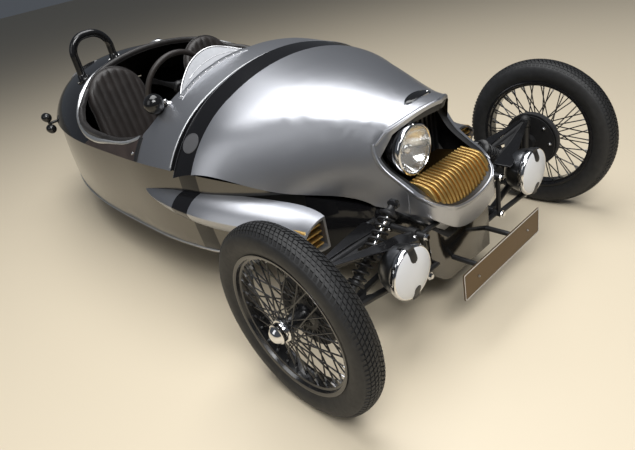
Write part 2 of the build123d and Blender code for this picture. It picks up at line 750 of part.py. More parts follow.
cushion_base = floor_top + carpet_thickness
with BuildPart() as seat_cushion:
    for side in (1, -1):
        with BuildSketch(side_plane(side * cushion_x - cushion_half)) as pad:
            with BuildLine():
                Polyline([(1330, cushion_base), (1322, cushion_base + 175)])
                ThreePointArc((1322, cushion_base + 175), (1345, cushion_base + 214), (1390, cushion_base + 222))
                Polyline([(1390, cushion_base + 222), (1756, cushion_base + 165), (1750, cushion_base),
                          (1330, cushion_base)])
            make_face()
        extrude(pad.sketch, amount=2 * cushion_half)
save(seat_cushion.part, "seat_cushion")

back_plane = Plane(origin=at(0, seat_station, cushion_base), x_dir=(1, 0, 0),
                   z_dir=(0, -math.cos(math.radians(seat_lean)), math.sin(math.radians(seat_lean))))
with BuildPart() as seat_back:
    for side in (1, -1):
        with BuildSketch(back_plane) as pad:
            with BuildLine():
                Polyline([(side * seat_x - 166, 560), (side * seat_x - seat_half, 60),
                          (side * seat_x + seat_half, 60), (side * seat_x + 166, 560)])
                ThreePointArc((side * seat_x + 166, 560), (side * seat_x, seat_top), (side * seat_x - 166, 560))
            make_face()
        extrude(pad.sketch, amount=-seat_thickness)
save(seat_back.part, "seat_back")

# Steering: column on the dashboard, and the wheel turning in its upper end
tilt = math.radians(column_tilt)
along = Vector(0, math.cos(tilt), math.sin(tilt))
wheel_centre = at(-driver_x, steering_station, steering_z)
column_reach = (steering_station - dash_station) / math.cos(tilt)
with BuildPart() as steering_column:
    bar(wheel_centre - along * column_reach, wheel_centre - along * 26, 19)
    bar(wheel_centre - along * 90, wheel_centre, 9 + running_fit, Mode.SUBTRACT)
    add(dashboard.part, mode=Mode.SUBTRACT)
save(steering_column.part, "steering_column")

with BuildPart() as steering_wheel:
    rim_plane = Plane(origin=wheel_centre, x_dir=(1, 0, 0), z_dir=along)
    with BuildSketch(Plane(origin=wheel_centre, x_dir=(1, 0, 0), z_dir=along.cross(Vector(1, 0, 0)))):
        with Locations((steering_radius - 13, 0)):
            Circle(13)
    revolve(axis=Axis(wheel_centre, along))
    bar(wheel_centre - along * 20, wheel_centre + along * 12, 28)
    bar(wheel_centre - along * 84, wheel_centre, 9)
    for angle in (90, 210, 330):
        out = Vector(math.cos(math.radians(angle)), 0, 0) + along.cross(Vector(1, 0, 0)) * math.sin(
            math.radians(angle))
        bar(wheel_centre - along * 4, wheel_centre + out * (steering_radius - 16) - along * 2, 7)
save(steering_wheel.part, "steering_wheel")

# Roll hoop, wind deflector, mirror and tail lamps, each seated on the body's skin
with BuildPart() as upper_solid:
    loft([upper_section(*row) for row in rear_rows])

with BuildPart() as roll_hoop:
    with BuildLine() as hoop_path:
        FilletPolyline([at(hoop_outer, hoop_station, 780), at(hoop_outer, hoop_station, hoop_top),
                        at(hoop_inner, hoop_station, hoop_top), at(hoop_inner, hoop_station, 860)], radius=95)
    with BuildSketch(Plane(origin=at(hoop_outer, hoop_station, 780), z_dir=(0, 0, 1))):
        Circle(hoop_radius)
    sweep()
    add(upper_solid.part, mode=Mode.SUBTRACT)
save(roll_hoop.part, "roll_hoop")

with BuildPart() as deflector:
    with BuildSketch(Plane(origin=at(0, 0, 800))):
        with BuildLine():
            ThreePointArc((-455, 914), (-277, 899), (-28, 845))
            Line((-28, 845), (-28, 845 + deflector_wall))
            ThreePointArc((-28, 845 + deflector_wall), (-277, 899 + deflector_wall), (-455, 914 + deflector_wall))
            Line((-455, 914 + deflector_wall), (-455, 914))
        make_face()
    extrude(amount=300, dir=(0, 0.6, 0.8))
    with BuildSketch(cross_plane(1150)):
        with BuildLine():
            ThreePointArc((-450, 826), (-385, 902), (-281, 972))
            ThreePointArc((-281, 972), (-170, 996), (-50, 952))
            Polyline([(-50, 952), (-50, 800), (-450, 800), (-450, 826)])
        make_face()
    extrude(amount=350, mode=Mode.INTERSECT)
    add(upper_solid.part, mode=Mode.SUBTRACT)
save(deflector.part, "deflector")

with BuildPart() as mirror_pod:
    bar(at(-mirror_x, mirror_station, mirror_z), at(-mirror_x + 62, mirror_station - 10, mirror_z - 70), 7)
    add(upper_solid.part, mode=Mode.SUBTRACT)
    with Locations(Location(at(-mirror_x, mirror_station, mirror_z))):
        Sphere(38)
save(mirror_pod.part, "mirror_pod")

with BuildPart() as tail_lamps:
    for side in (1, -1):
        for z in (tail_lamp_z + 38, tail_lamp_z - 38):
            bar(at(side * tail_lamp_x, wheelbase + tail_lamp_reach - 22, z), at(side * tail_lamp_x, wheelbase + tail_lamp_reach + 28, z), 30)
        bar(at(side * tail_lamp_x, wheelbase + tail_lamp_reach, tail_lamp_z - 20),
            at(side * tail_lamp_x, wheelbase + tail_lamp_reach, tail_lamp_z + 20), 9)
        bar(at(side * 300, wheelbase + tail_lamp_reach, tail_lamp_z), at(side * tail_lamp_x, wheelbase + tail_lamp_reach, tail_lamp_z), 9)
    add(hull_solid.part, mode=Mode.SUBTRACT)
save(tail_lamps.part, "tail_lamps")
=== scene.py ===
"""Looks of an open three-wheeled electric sports car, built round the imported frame."""

import json
import math

import bmesh
import bpy
import numpy as np
from mathutils import Matrix, Vector
from mathutils.bvhtree import BVHTree
from mathutils.kdtree import KDTree


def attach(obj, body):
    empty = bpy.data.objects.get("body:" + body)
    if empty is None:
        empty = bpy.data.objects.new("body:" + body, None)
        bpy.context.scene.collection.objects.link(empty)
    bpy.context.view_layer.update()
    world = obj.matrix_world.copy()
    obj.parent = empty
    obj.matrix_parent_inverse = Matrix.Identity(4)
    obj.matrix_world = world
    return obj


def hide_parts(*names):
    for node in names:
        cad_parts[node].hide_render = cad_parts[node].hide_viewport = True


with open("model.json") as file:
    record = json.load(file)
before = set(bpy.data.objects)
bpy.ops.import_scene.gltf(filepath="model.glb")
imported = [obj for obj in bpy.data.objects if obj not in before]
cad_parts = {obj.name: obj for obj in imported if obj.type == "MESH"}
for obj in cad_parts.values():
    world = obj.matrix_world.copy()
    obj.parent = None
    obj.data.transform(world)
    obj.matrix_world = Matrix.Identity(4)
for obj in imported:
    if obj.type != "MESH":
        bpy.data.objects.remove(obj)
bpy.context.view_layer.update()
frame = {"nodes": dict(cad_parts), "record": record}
nodes = frame["nodes"]

# Places from the frame's joints in metres, and sizes in millimetres; stations run back from the front axle
JOINT_AT = {joint["name"]: joint["pos_m"] for joint in frame["record"]["behaviour"]["joints"]}
AXLE_Y = JOINT_AT["wheel_left_spin"][1]
FRONT_TYRE = {"radius": 343, "width": 97, "bead": 246}
REAR_TYRE = {"radius": 310, "width": 190, "bead": 203}
BAND = (702, 803)
SCUTTLE_BAND = (702, 812)
# Painted shade: stations where the hull is painted gloss black for the shade of the recess by the pods.
POD_SHADE = (96, 340)
BODY = "body"
FRONT = {"left": 1, "right": -1}


def at(x, station, z):
    """A point in metres from millimetres and a station behind the front axle."""
    return Vector((x / 1000, AXLE_Y + station / 1000, z / 1000))


# Materials
def material(name, colour, metal=0.0, rough=0.5, coat=0.0, coat_rough=0.05, sheen=0.0, spec=0.5):
    """A Principled material with its constant values on the shader's own sockets."""
    m = bpy.data.materials.new(name)
    m.use_nodes = True
    inputs = m.node_tree.nodes["Principled BSDF"].inputs
    inputs["Base Color"].default_value = (*colour, 1)
    for socket, value in (("Metallic", metal), ("Roughness", rough), ("Coat Weight", coat),
                          ("Coat Roughness", coat_rough), ("Sheen Weight", sheen),
                          ("Specular IOR Level", spec)):
        inputs[socket].default_value = value
    return m


class Graph:
    """Short calls for building a material's node tree."""

    def __init__(self, m):
        self.tree = m.node_tree
        self.shader = self.tree.nodes["Principled BSDF"]

    def node(self, kind, **values):
        made = self.tree.nodes.new(kind)
        for key, value in values.items():
            made.inputs[key].default_value = value
        return made

    def link(self, out, to):
        self.tree.links.new(out, to)

    def place(self):
        return self.node("ShaderNodeTexCoord").outputs["Object"]

    def axes(self):
        split = self.node("ShaderNodeSeparateXYZ")
        self.link(self.place(), split.inputs[0])
        return split.outputs

    def math(self, operation, a, b=0.0):
        made = self.tree.nodes.new("ShaderNodeMath")
        made.operation = operation
        for socket, value in zip(made.inputs, (a, b)):
            if isinstance(value, (int, float)):
                socket.default_value = value
            else:
                self.link(value, socket)
        return made.outputs[0]

    def noise(self, scale, detail=4.0, rough=0.5):
        made = self.node("ShaderNodeTexNoise", Scale=scale, Detail=detail, Roughness=rough)
        self.link(self.place(), made.inputs["Vector"])
        return made.outputs["Fac"]

    def cells(self, scale):
        """The distance to the edge of a cell pattern, for pores."""
        made = self.node("ShaderNodeTexVoronoi", Scale=scale)
        made.feature = "DISTANCE_TO_EDGE"
        self.link(self.place(), made.inputs["Vector"])
        return made.outputs["Distance"]

    def ramp(self, value, *stops):
        made = self.tree.nodes.new("ShaderNodeValToRGB")
        for element, (place, colour) in zip(made.color_ramp.elements, stops):
            element.position = place
            element.color = (*colour, 1)
        self.link(value, made.inputs["Fac"])
        return made.outputs["Color"]

    def spread(self, value, low, high):
        """Takes 0..1 to low..high."""
        made = self.tree.nodes.new("ShaderNodeMapRange")
        made.inputs["To Min"].default_value = low
        made.inputs["To Max"].default_value = high
        self.link(value, made.inputs["Value"])
        return made.outputs["Result"]

    def mixed(self, factor, a, b):
        """A colour mix: a colour or a socket on each side."""
        made = self.tree.nodes.new("ShaderNodeMix")
        made.data_type = "RGBA"
        self.link(factor, made.inputs["Factor"])
        for socket, value in ((made.inputs["A"], a), (made.inputs["B"], b)):
            if isinstance(value, tuple):
                socket.default_value = (*value, 1)
            else:
                self.link(value, socket)
        return made.outputs["Result"]

    def between(self, start, end):
        """1 between two stations, 0 elsewhere."""
        y = self.axes()["Y"]
        after = self.math("GREATER_THAN", y, AXLE_Y + start / 1000)
        return self.math("MULTIPLY", after, self.math("LESS_THAN", y, AXLE_Y + end / 1000))

    def bump(self, height, strength=0.2, distance=0.001):
        made = self.node("ShaderNodeBump", Strength=strength, Distance=distance)
        self.link(height, made.inputs["Height"])
        self.link(made.outputs["Normal"], self.shader.inputs["Normal"])

    def to(self, out, name):
        self.link(out, self.shader.inputs[name])


def plain_metal(name, colour, rough, wear=0.05, scale=60):
    """Bare or plated metal with a little wear in its gloss and colour."""
    m = material(name, colour, 1.0, rough)
    g = Graph(m)
    n = g.noise(scale, 5, 0.6)
    g.to(g.spread(n, max(0.02, rough - wear), rough + wear), "Roughness")
    g.to(g.ramp(n, (0.3, tuple(c * 0.9 for c in colour)), (0.7, colour)), "Base Color")
    g.bump(g.noise(scale * 8, 3), 0.03, 0.0002)
    return m


def coated(name, colour, rough=0.35, coat=0.0, grain=400, depth=0.06):
    """Paint, rubber, plastic or pile: a fine grain in colour and bump."""
    m = material(name, colour, 0.0, rough, coat=coat)
    g = Graph(m)
    n = g.noise(grain, 3)
    g.to(g.spread(g.noise(20, 4), rough - 0.05, rough + 0.07), "Roughness")
    g.to(g.ramp(n, (0.35, colour), (0.75, tuple(min(1, c * 1.25 + 0.004) for c in colour))), "Base Color")
    g.bump(n, depth, 0.0004)
    return m


def silver_paint(name, colour, rough, metal=0.9, bands_and_shade=(BAND,), coat=0.2):
    """Silver metallic paint with fine flake, gloss black between each pair of stations in bands_and_shade;
    POD_SHADE is painted shade.
    """
    m = material(name, colour, metal, rough, coat=coat, coat_rough=0.06, spec=0.3)
    g = Graph(m)
    dark, light = (tuple(min(1, c * share) for c in colour) for share in (0.93, 1.07))
    flake = g.ramp(g.noise(1400, 2), (0.32, dark), (0.68, light))
    mask = g.between(*bands_and_shade[0])
    for band in bands_and_shade[1:]:
        mask = g.math("MAXIMUM", mask, g.between(*band))
    g.to(g.mixed(mask, flake, (0.008, 0.008, 0.009)), "Base Color")
    g.to(g.math("MULTIPLY", g.math("SUBTRACT", 1.0, mask), metal), "Metallic")
    smear = g.spread(g.noise(2.5, 3), rough - 0.02, rough + 0.03)
    glossier = g.math("SUBTRACT", 1.0, g.math("MULTIPLY", mask, 0.5))
    g.to(g.math("MULTIPLY", smear, glossier), "Roughness")
    return m


def hide(name, colour, grain=420, rough=0.42):
    """Grained leather: a cell pattern for the pores, a wide mottle and wear on the roughness."""
    m = material(name, colour, 0.0, rough, coat=0.08, coat_rough=0.3, sheen=0.05)
    g = Graph(m)
    light = tuple(min(1, c * 1.35 + 0.003) for c in colour)
    g.to(g.ramp(g.noise(9, 5, 0.6), (0.3, tuple(c * 0.72 for c in colour)), (0.72, light)), "Base Color")
    g.to(g.spread(g.noise(30, 4), rough - 0.07, rough + 0.1), "Roughness")
    g.bump(g.ramp(g.cells(grain), (0.0, (0, 0, 0)), (0.16, (1, 1, 1))), 0.35, 0.0005)
    return m


def deck_black():
    """The tail deck: gloss black, with brown leather ahead of a sloping line beside the cockpit."""
    colour = (0.007, 0.007, 0.008)
    slant, end_station, end_z, panel_from = 2.2, 1.640, 0.650, 0.5
    m = material("deck_black", colour, 0.0, 0.12, coat=0.25)
    g = Graph(m)
    axes = g.axes()
    line = g.math("ADD", axes["Y"], g.math("MULTIPLY", axes["Z"], slant))
    ahead_of_it = g.math("LESS_THAN", line, AXLE_Y + end_station + slant * end_z)
    beside = g.math("GREATER_THAN", g.math("ABSOLUTE", axes["X"]), panel_from)
    mask = g.math("MULTIPLY", ahead_of_it, beside)
    brown = g.ramp(g.noise(14, 5), (0.3, (0.026, 0.0185, 0.016)), (0.72, (0.050, 0.036, 0.031)))
    g.to(g.mixed(mask, colour, brown), "Base Color")
    g.to(g.math("ADD", g.math("MULTIPLY", mask, 0.32), g.spread(g.noise(3, 3), 0.09, 0.13)), "Roughness")
    g.bump(g.math("MULTIPLY", mask, g.cells(420)), 0.4, 0.0006)
    return m


def tyre_rubber(name, joint):
    """Rubber with fine moulded rings round the wheel's joint and a dusting of grey."""
    colour = (0.0085, 0.0088, 0.0094)
    m = material(name, colour, 0.0, 0.6)
    g = Graph(m)
    axes = g.axes()
    dy, dz = (g.math("SUBTRACT", axes[axis], JOINT_AT[joint][k]) for axis, k in (("Y", 1), ("Z", 2)))
    radius = g.math("SQRT", g.math("ADD", g.math("MULTIPLY", dy, dy), g.math("MULTIPLY", dz, dz)))
    rings = g.math("SINE", g.math("MULTIPLY", radius, 1900.0))
    dusty = tuple(c * 1.9 + 0.004 for c in colour)
    g.to(g.ramp(g.noise(38, 5, 0.62), (0.34, colour), (0.8, dusty)), "Base Color")
    g.to(g.spread(g.noise(60, 3), 0.5, 0.7), "Roughness")
    g.bump(g.math("ADD", g.math("MULTIPLY", rings, 0.3), g.noise(700, 3)), 0.12, 0.0006)
    return m


def lamp_glass():
    """Pressed lamp glass, fluted upright."""
    m = material("lamp_glass", (0.96, 0.97, 0.98), 0.0, 0.03)
    g = Graph(m)
    g.shader.inputs["Transmission Weight"].default_value = 0.92
    g.shader.inputs["IOR"].default_value = 1.45
    flutes = g.math("ABSOLUTE", g.math("SINE", g.math("MULTIPLY", g.axes()["X"], 360.0)))
    g.bump(flutes, 0.35, 0.0016)
    return m


def white_vinyl():
    """The lamp covers' stretched white vinyl, with a faint weave."""
    m = material("white_cover", (0.72, 0.735, 0.76), 0.0, 0.36, coat=0.15, coat_rough=0.2)
    g = Graph(m)
    g.to(g.ramp(g.noise(5, 3), (0.3, (0.70, 0.715, 0.74)), (0.7, (0.74, 0.755, 0.78))), "Base Color")
    g.to(g.spread(g.noise(40, 3), 0.33, 0.41), "Roughness")
    g.bump(g.noise(1500, 2), 0.05, 0.0003)
    return m


SILVER = (0.42, 0.43, 0.46)
mats = {
    "silver": silver_paint("silver_paint", SILVER, 0.34),
    # Painted reflection: the hull's silver is the body's paint made much darker, standing in for dark
    # surroundings reflected in its sides.
    "silver_shaded": silver_paint("silver_shaded", (0.135, 0.130, 0.122), 0.14, 0.95, (BAND, POD_SHADE), 0.12),
    "silver_plain": silver_paint("silver_plain", SILVER, 0.34, bands_and_shade=(SCUTTLE_BAND,)),
    "deflector_silver": plain_metal("deflector_silver", (0.41, 0.42, 0.44), 0.50, 0.04),
    "roundel_grey": coated("roundel_grey", (0.070, 0.070, 0.074), 0.4),
    "inner_black": coated("inner_black", (0.014, 0.013, 0.012), 0.7, 0.0, 500, 0.3),
    "deck_black": deck_black(),
    "black_gloss": coated("black_gloss", (0.006, 0.006, 0.0065), 0.14, 0.15, 200, 0.01),
    "black_satin": coated("black_satin", (0.010, 0.010, 0.0105), 0.42),
    "rim_black": coated("rim_black", (0.010, 0.010, 0.011), 0.22, 0.3, 260, 0.03),
    "cast_black": coated("cast_black", (0.020, 0.020, 0.021), 0.48, 0.0, 520, 0.5),
    "brass": plain_metal("brass_fins", (0.80, 0.54, 0.19), 0.42, 0.07, 40),
    # Painted shade: a dark brown for the sheet under the mouth's fins.
    "brass_painted_shade": plain_metal("brass_painted_shade", (0.10, 0.06, 0.02), 0.5, 0.07, 40),
    "bright": plain_metal("bright_trim", (0.86, 0.87, 0.88), 0.42, 0.04),
    "chrome": plain_metal("chrome", (0.80, 0.80, 0.81), 0.06, 0.02),
    "mirror": plain_metal("mirror_silver", (0.90, 0.90, 0.90), 0.03, 0.01),
    "gun_metal": plain_metal("gun_metal", (0.22, 0.225, 0.235), 0.30, 0.04),
    "steel": plain_metal("steel", (0.44, 0.44, 0.45), 0.30, 0.08, 120),
    "rubber": coated("rubber", (0.0095, 0.0098, 0.0104), 0.60, 0.0, 700, 0.25),
    "tread": tyre_rubber("tyre_front", "wheel_left_spin"),
    "tread_rear": tyre_rubber("tyre_back", "wheel_rear_spin"),
    "leather": hide("leather", (0.0175, 0.0135, 0.0118)),
    "leather_dark": hide("leather_dark", (0.010, 0.008, 0.0072), 460),
    "white": white_vinyl(),
    "pale_line": coated("pale_line", (0.52, 0.50, 0.47), 0.4, 0.0, 100, 0.02),
    "bronze": plain_metal("bronze_plate", (0.150, 0.105, 0.062), 0.45, 0.08, 30),
    "carpet": coated("carpet", (0.012, 0.011, 0.01), 0.9, 0.0, 900, 0.8),
    "casing": plain_metal("casing", (0.3, 0.3, 0.31), 0.5, 0.1),
    "red_lens": coated("red_lens", (0.09, 0.004, 0.004), 0.10, 0.6, 100, 0.02),
    "lens": lamp_glass(),
}

# Each slot of the record: first the finish of its CAD nodes, then the other finishes that count as it
SLOTS = {
    "body_metal": ("silver", "silver_plain"),
    "gloss_black": ("black_gloss", "deck_black"),
    "satin_black": ("black_satin", "rim_black", "cast_black", "roundel_grey"),
    "brass_fins": ("brass", "brass_painted_shade"),
    "bright_metal": ("chrome", "bright", "gun_metal", "steel", "mirror"),
    "tyre_rubber": ("rubber", "tread", "tread_rear"),
    "leather_dark": ("leather", "leather_dark"),
    "lamp_cover": ("white",),
    "plate_bronze": ("bronze",),
    "carpet_black": ("carpet",),
    "pack_grey": ("casing",),
    "tail_glass": ("red_lens",),
}
# The hull takes the darkened silver, a painted reflection.
NODE_MATS = {"hull": "silver_shaded", "tail_deck": "deck_black", "deflector": "deflector_silver",
             "scuttle": "silver_plain", "tail_lamps": "black_gloss", "dashboard": "black_gloss",
             "front_tyre_left": "tread", "front_tyre_right": "tread", "rear_tyre": "tread_rear"}
for part in frame["record"]["subparts"]:
    mesh = nodes[part["node"]].data
    mesh.materials.clear()
    mesh.materials.append(mats[NODE_MATS.get(part["node"], SLOTS[part["material_slot"]][0])])
    mesh.polygons.foreach_set("use_smooth", [True] * len(mesh.polygons))
    mesh.set_sharp_from_angle(angle=math.radians(32))


def even_normals(mesh, reach=0.032, spread=48.0):
    """Sets each corner's normal to the mean over the faces near it that turn away less than the spread."""
    total = len(mesh.vertices)
    where = np.empty(total * 3)
    mesh.vertices.foreach_get("co", where)
    where = where.reshape(-1, 3)
    normals = np.empty(len(mesh.polygons) * 3)
    mesh.polygons.foreach_get("normal", normals)
    normals = normals.reshape(-1, 3)
    areas = np.array([min(face.area, reach * reach) for face in mesh.polygons])
    tree = KDTree(total)
    around = [[] for _ in range(total)]
    for i, place in enumerate(where):
        tree.insert(place, i)
    tree.balance()
    for face in mesh.polygons:
        for i in face.vertices:
            around[i].append(face.index)
    corners = {}
    limit = math.cos(math.radians(spread))
    for i, place in enumerate(where):
        near = set()
        for _, j, _ in tree.find_range(place, reach):
            near.update(around[j])
        near = np.fromiter(near, int)
        facing, weight = normals[near], areas[near]
        for own in around[i]:
            alike = facing @ normals[own] > limit
            mean = (facing[alike] * weight[alike, None]).sum(0)
            size = math.sqrt(mean @ mean)
            corners[own, i] = tuple(mean / size) if size > 0 else tuple(normals[own])
    mesh.normals_split_custom_set([corners[face.index, i] for face in mesh.polygons for i in face.vertices])


def darken_inside(mesh, middle_y, middle_z):
    """Gives the faces of a shell that look towards its middle line a dark lining."""
    mesh.materials.append(mats["inner_black"])
    for face in mesh.polygons:
        c, n = face.center, face.normal
        facing = n.x * c.x + n.z * (c.z - middle_z)
        if abs(facing) < 0.02:
            facing = n.y * (c.y - middle_y)
        if facing < 0:
            face.material_index = 1


for name in ("bonnet", "hull", "scuttle", "tail_deck", "pod_left", "pod_right"):
    even_normals(nodes[name].data)
for name, middle_y, middle_z in (("hull", 0.1, 0.40), ("bonnet", AXLE_Y + 0.35, 0.35),
                                 ("scuttle", AXLE_Y + 0.93, 0.30), ("tail_deck", AXLE_Y + 2.0, 0.30)):
    darken_inside(nodes[name].data, middle_y, middle_z)


# Mesh helpers: a shape is a pair of vertices and faces
def unit(v):
    return Vector(v).normalized()


def angles(count):
    """Evenly spaced angles round a circle."""
    return [2 * math.pi * k / count for k in range(count)]


def loops(rows, close_row=True, close_all=False):
    """Quads between rows of points that all have the same count."""
    count = len(rows[0])
    verts = [p for row in rows for p in row]
    faces = []
    for i in range(len(rows) if close_all else len(rows) - 1):
        for j in range(count if close_row else count - 1):
            a, b = i * count + j, i * count + (j + 1) % count
            c = ((i + 1) % len(rows)) * count
            faces.append((a, b, c + (j + 1) % count, c + j))
    return verts, faces


def capped(rows):
    """A closed solid: closed rows with a face over the first and the last."""
    verts, faces = loops(rows)
    count = len(rows[0])
    return verts, faces + [tuple(range(count))[::-1], tuple(range(len(verts) - count, len(verts)))]


def join(*parts):
    verts, faces = [], []
    for v, f in parts:
        base = len(verts)
        verts += list(v)
        faces += [tuple(base + i for i in face) for face in f]
    return verts, faces


def lathe(profile, origin, axis, segs=48):
    """Turns (distance along the axis, radius) pairs about an axis; sizes in mm."""
    axis = unit(axis)
    side = unit(axis.orthogonal())
    up = axis.cross(side)
    rows = []
    for t in angles(segs):
        out = side * math.cos(t) + up * math.sin(t)
        rows.append([origin + axis * (a / 1000) + out * (r / 1000) for a, r in profile])
    return loops(rows, close_row=False, close_all=True)


def tube(path, radius, segs=10, caps=True):
    """A round tube along points; radius in mm, one value or one for each point."""
    radii = [radius] * len(path) if isinstance(radius, (int, float)) else radius
    rows = []
    side = None
    for i, p in enumerate(path):
        ahead = unit(path[min(i + 1, len(path) - 1)] - path[max(i - 1, 0)])
        side = unit(ahead.orthogonal()) if side is None else unit(side - ahead * side.dot(ahead))
        up = ahead.cross(side)
        rows.append([p + (side * math.cos(t) + up * math.sin(t)) * (radii[i] / 1000) for t in angles(segs)])
    return capped(rows) if caps else loops(rows)


def ring(centre, axis, radius, thick, segs=48, sides=10):
    """A torus; sizes in mm."""
    profile = [(thick * math.sin(t), radius + thick * math.cos(t)) for t in angles(sides)]
    return lathe(profile + profile[:1], centre, axis, segs)


def bolt(centre, axis, across=9.0, height=5.0):
    """A hexagon head on a washer; sizes in mm."""
    wide = across * 0.75
    washer = lathe([(0, 0.0), (0, wide), (1.1, wide), (1.5, wide - 0.4), (1.5, 0.0)], centre, axis, 16)
    flat, top = across / 2 + 0.6, across / 2 - 0.6
    side = [(0, flat), (height - 1.2, flat), (height, top), (height, 0)]
    head = lathe(side, centre + unit(axis) * 0.0015, axis, 6)
    return join(washer, head)


def prism(outline, lift, thick):
    """A flat plate: its outline as points and its thickness along lift; thickness in mm."""
    count = len(outline)
    push = unit(lift) * (thick / 1000)
    verts = list(outline) + [p + push for p in outline]
    faces = [tuple(range(count))[::-1], tuple(range(count, 2 * count))]
    faces += [(i, (i + 1) % count, count + (i + 1) % count, count + i) for i in range(count)]
    return verts, faces


def piece(name, shape, mat, body=BODY, angle=35, stands_for=(), bevel=0.0):
    """Makes a piece from vertices and faces, in its material, riding on a body."""
    verts, faces = shape
    mesh = bpy.data.meshes.new(name)
    mesh.from_pydata([tuple(v) for v in verts], [], faces)
    work = bmesh.new()
    work.from_mesh(mesh)
    bmesh.ops.remove_doubles(work, verts=work.verts, dist=0.00002)
    bmesh.ops.recalc_face_normals(work, faces=work.faces)
    work.to_mesh(mesh)
    work.free()
    mesh.materials.append(mats[mat])
    mesh.polygons.foreach_set("use_smooth", [True] * len(mesh.polygons))
    mesh.set_sharp_from_angle(angle=math.radians(angle))
    obj = bpy.data.objects.new(name, mesh)
    bpy.context.scene.collection.objects.link(obj)
    if bevel:
        rounder = obj.modifiers.new("bevel", "BEVEL")
        rounder.width = bevel / 1000
        rounder.segments = 2
        rounder.limit_method = "ANGLE"
        rounder.angle_limit = math.radians(40)
        rounder.harden_normals = True
    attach(obj, body)
    if stands_for:
        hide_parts(*stands_for)
    return obj


def smooth_path(points, steps=8):
    """Catmull-Rom points through the given ones."""
    out = []
    last = len(points) - 1
    for i in range(last):
        p0, p1, p2, p3 = (points[min(max(i + k, 0), last)] for k in (-1, 0, 1, 2))
        for t in (k / steps for k in range(steps)):
            out.append(0.5 * ((2 * p1) + (p2 - p0) * t + (2 * p0 - 5 * p1 + 4 * p2 - p3) * t * t
                              + (3 * p1 - p0 - 3 * p2 + p3) * t ** 3))
    return out + [points[-1]]


def skin_of(*names):
    """A search tree over the chosen CAD skins."""
    verts, faces = [], []
    for name in names:
        mesh = nodes[name].data
        base = len(verts)
        verts += [v.co.copy() for v in mesh.vertices]
        faces += [tuple(base + i for i in p.vertices) for p in mesh.polygons]
    return BVHTree.FromPolygons(verts, faces)


def drop(skin, x, station, start=1400):
    """The point and normal where a plumb line first meets the skin."""
    return skin.ray_cast(at(x, station, start), Vector((0, 0, -1)))[:2]


def beside(skin, side, station, z):
    """The point and normal where a level line from outside one side of the car first meets the skin."""
    return skin.ray_cast(at(side * 1200, station, z), Vector((-side, 0, 0)))[:2]


def within(skin, side, station, z):
    """The point where a level line from the car's middle plane first meets the skin on one side."""
    return skin.ray_cast(at(0, station, z), Vector((side, 0, 0)))[0]


def slab(p, normal, up, *corners):
    """Points round p, each so far along the normal and so far up, in mm."""
    return [p + normal * (out / 1000) + up * (rise / 1000) for out, rise in corners]


upper_skin = skin_of("scuttle", "tail_deck")
flank_skin = skin_of("hull")
bonnet_skin = skin_of("bonnet")


# Cockpit rim: a bright ring and a padded roll round the opening in the upper skins
COCKPIT_MIDDLE = 1500.0
RIM_FRONT = 1078


def opening_edge(steps=120):
    """Points of the cockpit opening's edge, found by plumb lines outwards from its middle."""
    found = []
    for t in angles(steps):
        dx, ds = math.sin(t), -math.cos(t)
        r = 300.0
        while r < 760 and drop(upper_skin, dx * r, COCKPIT_MIDDLE + ds * r)[0] is None:
            r += 6.0
        low, high = r - 6.0, r
        for _ in range(7):
            middle = (low + high) / 2
            if drop(upper_skin, dx * middle, COCKPIT_MIDDLE + ds * middle)[0] is None:
                low = middle
            else:
                high = middle
        place, _ = drop(upper_skin, dx * (high + 1.5), COCKPIT_MIDDLE + ds * (high + 1.5))
        if place is not None:
            found.append(place)
    return found


def bell_mean(values, weights):
    """A closed row of vectors, each the weighted sum of its neighbours."""
    count = len(values)
    return [sum((values[(i + k) % count] * w for k, w in weights), Vector()) for i in range(count)]


edge = opening_edge()
count = len(edge)
behind = [i for i, p in enumerate(edge) if p.y > AXLE_Y + RIM_FRONT / 1000]
for _ in range(3):
    edge = bell_mean(edge, ((-2, 0.1), (-1, 0.22), (0, 0.36), (1, 0.22), (2, 0.1)))
edge_out = []
for i, p in enumerate(edge):
    along = unit(edge[(i + 1) % count] - edge[i - 1])
    away = unit(p - at(0, COCKPIT_MIDDLE, p.z * 1000))
    _, normal, _, _ = upper_skin.find_nearest(p + away * 0.012 + Vector((0, 0, 0.004)))
    if normal.dot(away + Vector((0, 0, 1))) < 0:
        normal = -normal
    out = unit(along.cross(normal))
    edge_out.append((out if out.dot(away) >= 0 else -out, unit(normal)))


def eased(line, times=4):
    """A line of points with its small kinks drawn out; its two ends stay."""
    for _ in range(times):
        line = [line[0]] + [(a + b * 2 + c) / 4 for a, b, c in zip(line, line[1:], line[2:])] + [line[-1]]
    return line


def along_edge(out_mm, up_mm):
    """A line beside the opening's edge: out over the skin and up from it, in mm."""
    path = []
    for i in range(behind[0], behind[-1] + 1):
        out, normal = edge_out[i]
        p = edge[i] + out * (out_mm / 1000)
        if out_mm > 2:
            p = upper_skin.find_nearest(p + normal * 0.003)[0]
        path.append(p + normal * (up_mm / 1000))
    return eased(path)


RING_SECTION = ((-1.0, -6.0), (-0.6, 3.0), (3.0, 6.0), (10.0, 7.6), (18.0, 7.2), (25.0, 4.6), (28.0, -1.5))
ring_rows = [list(row) for row in zip(*(along_edge(*spot) for spot in RING_SECTION))]
piece("cockpit_ring", capped(ring_rows), "bright", angle=50)

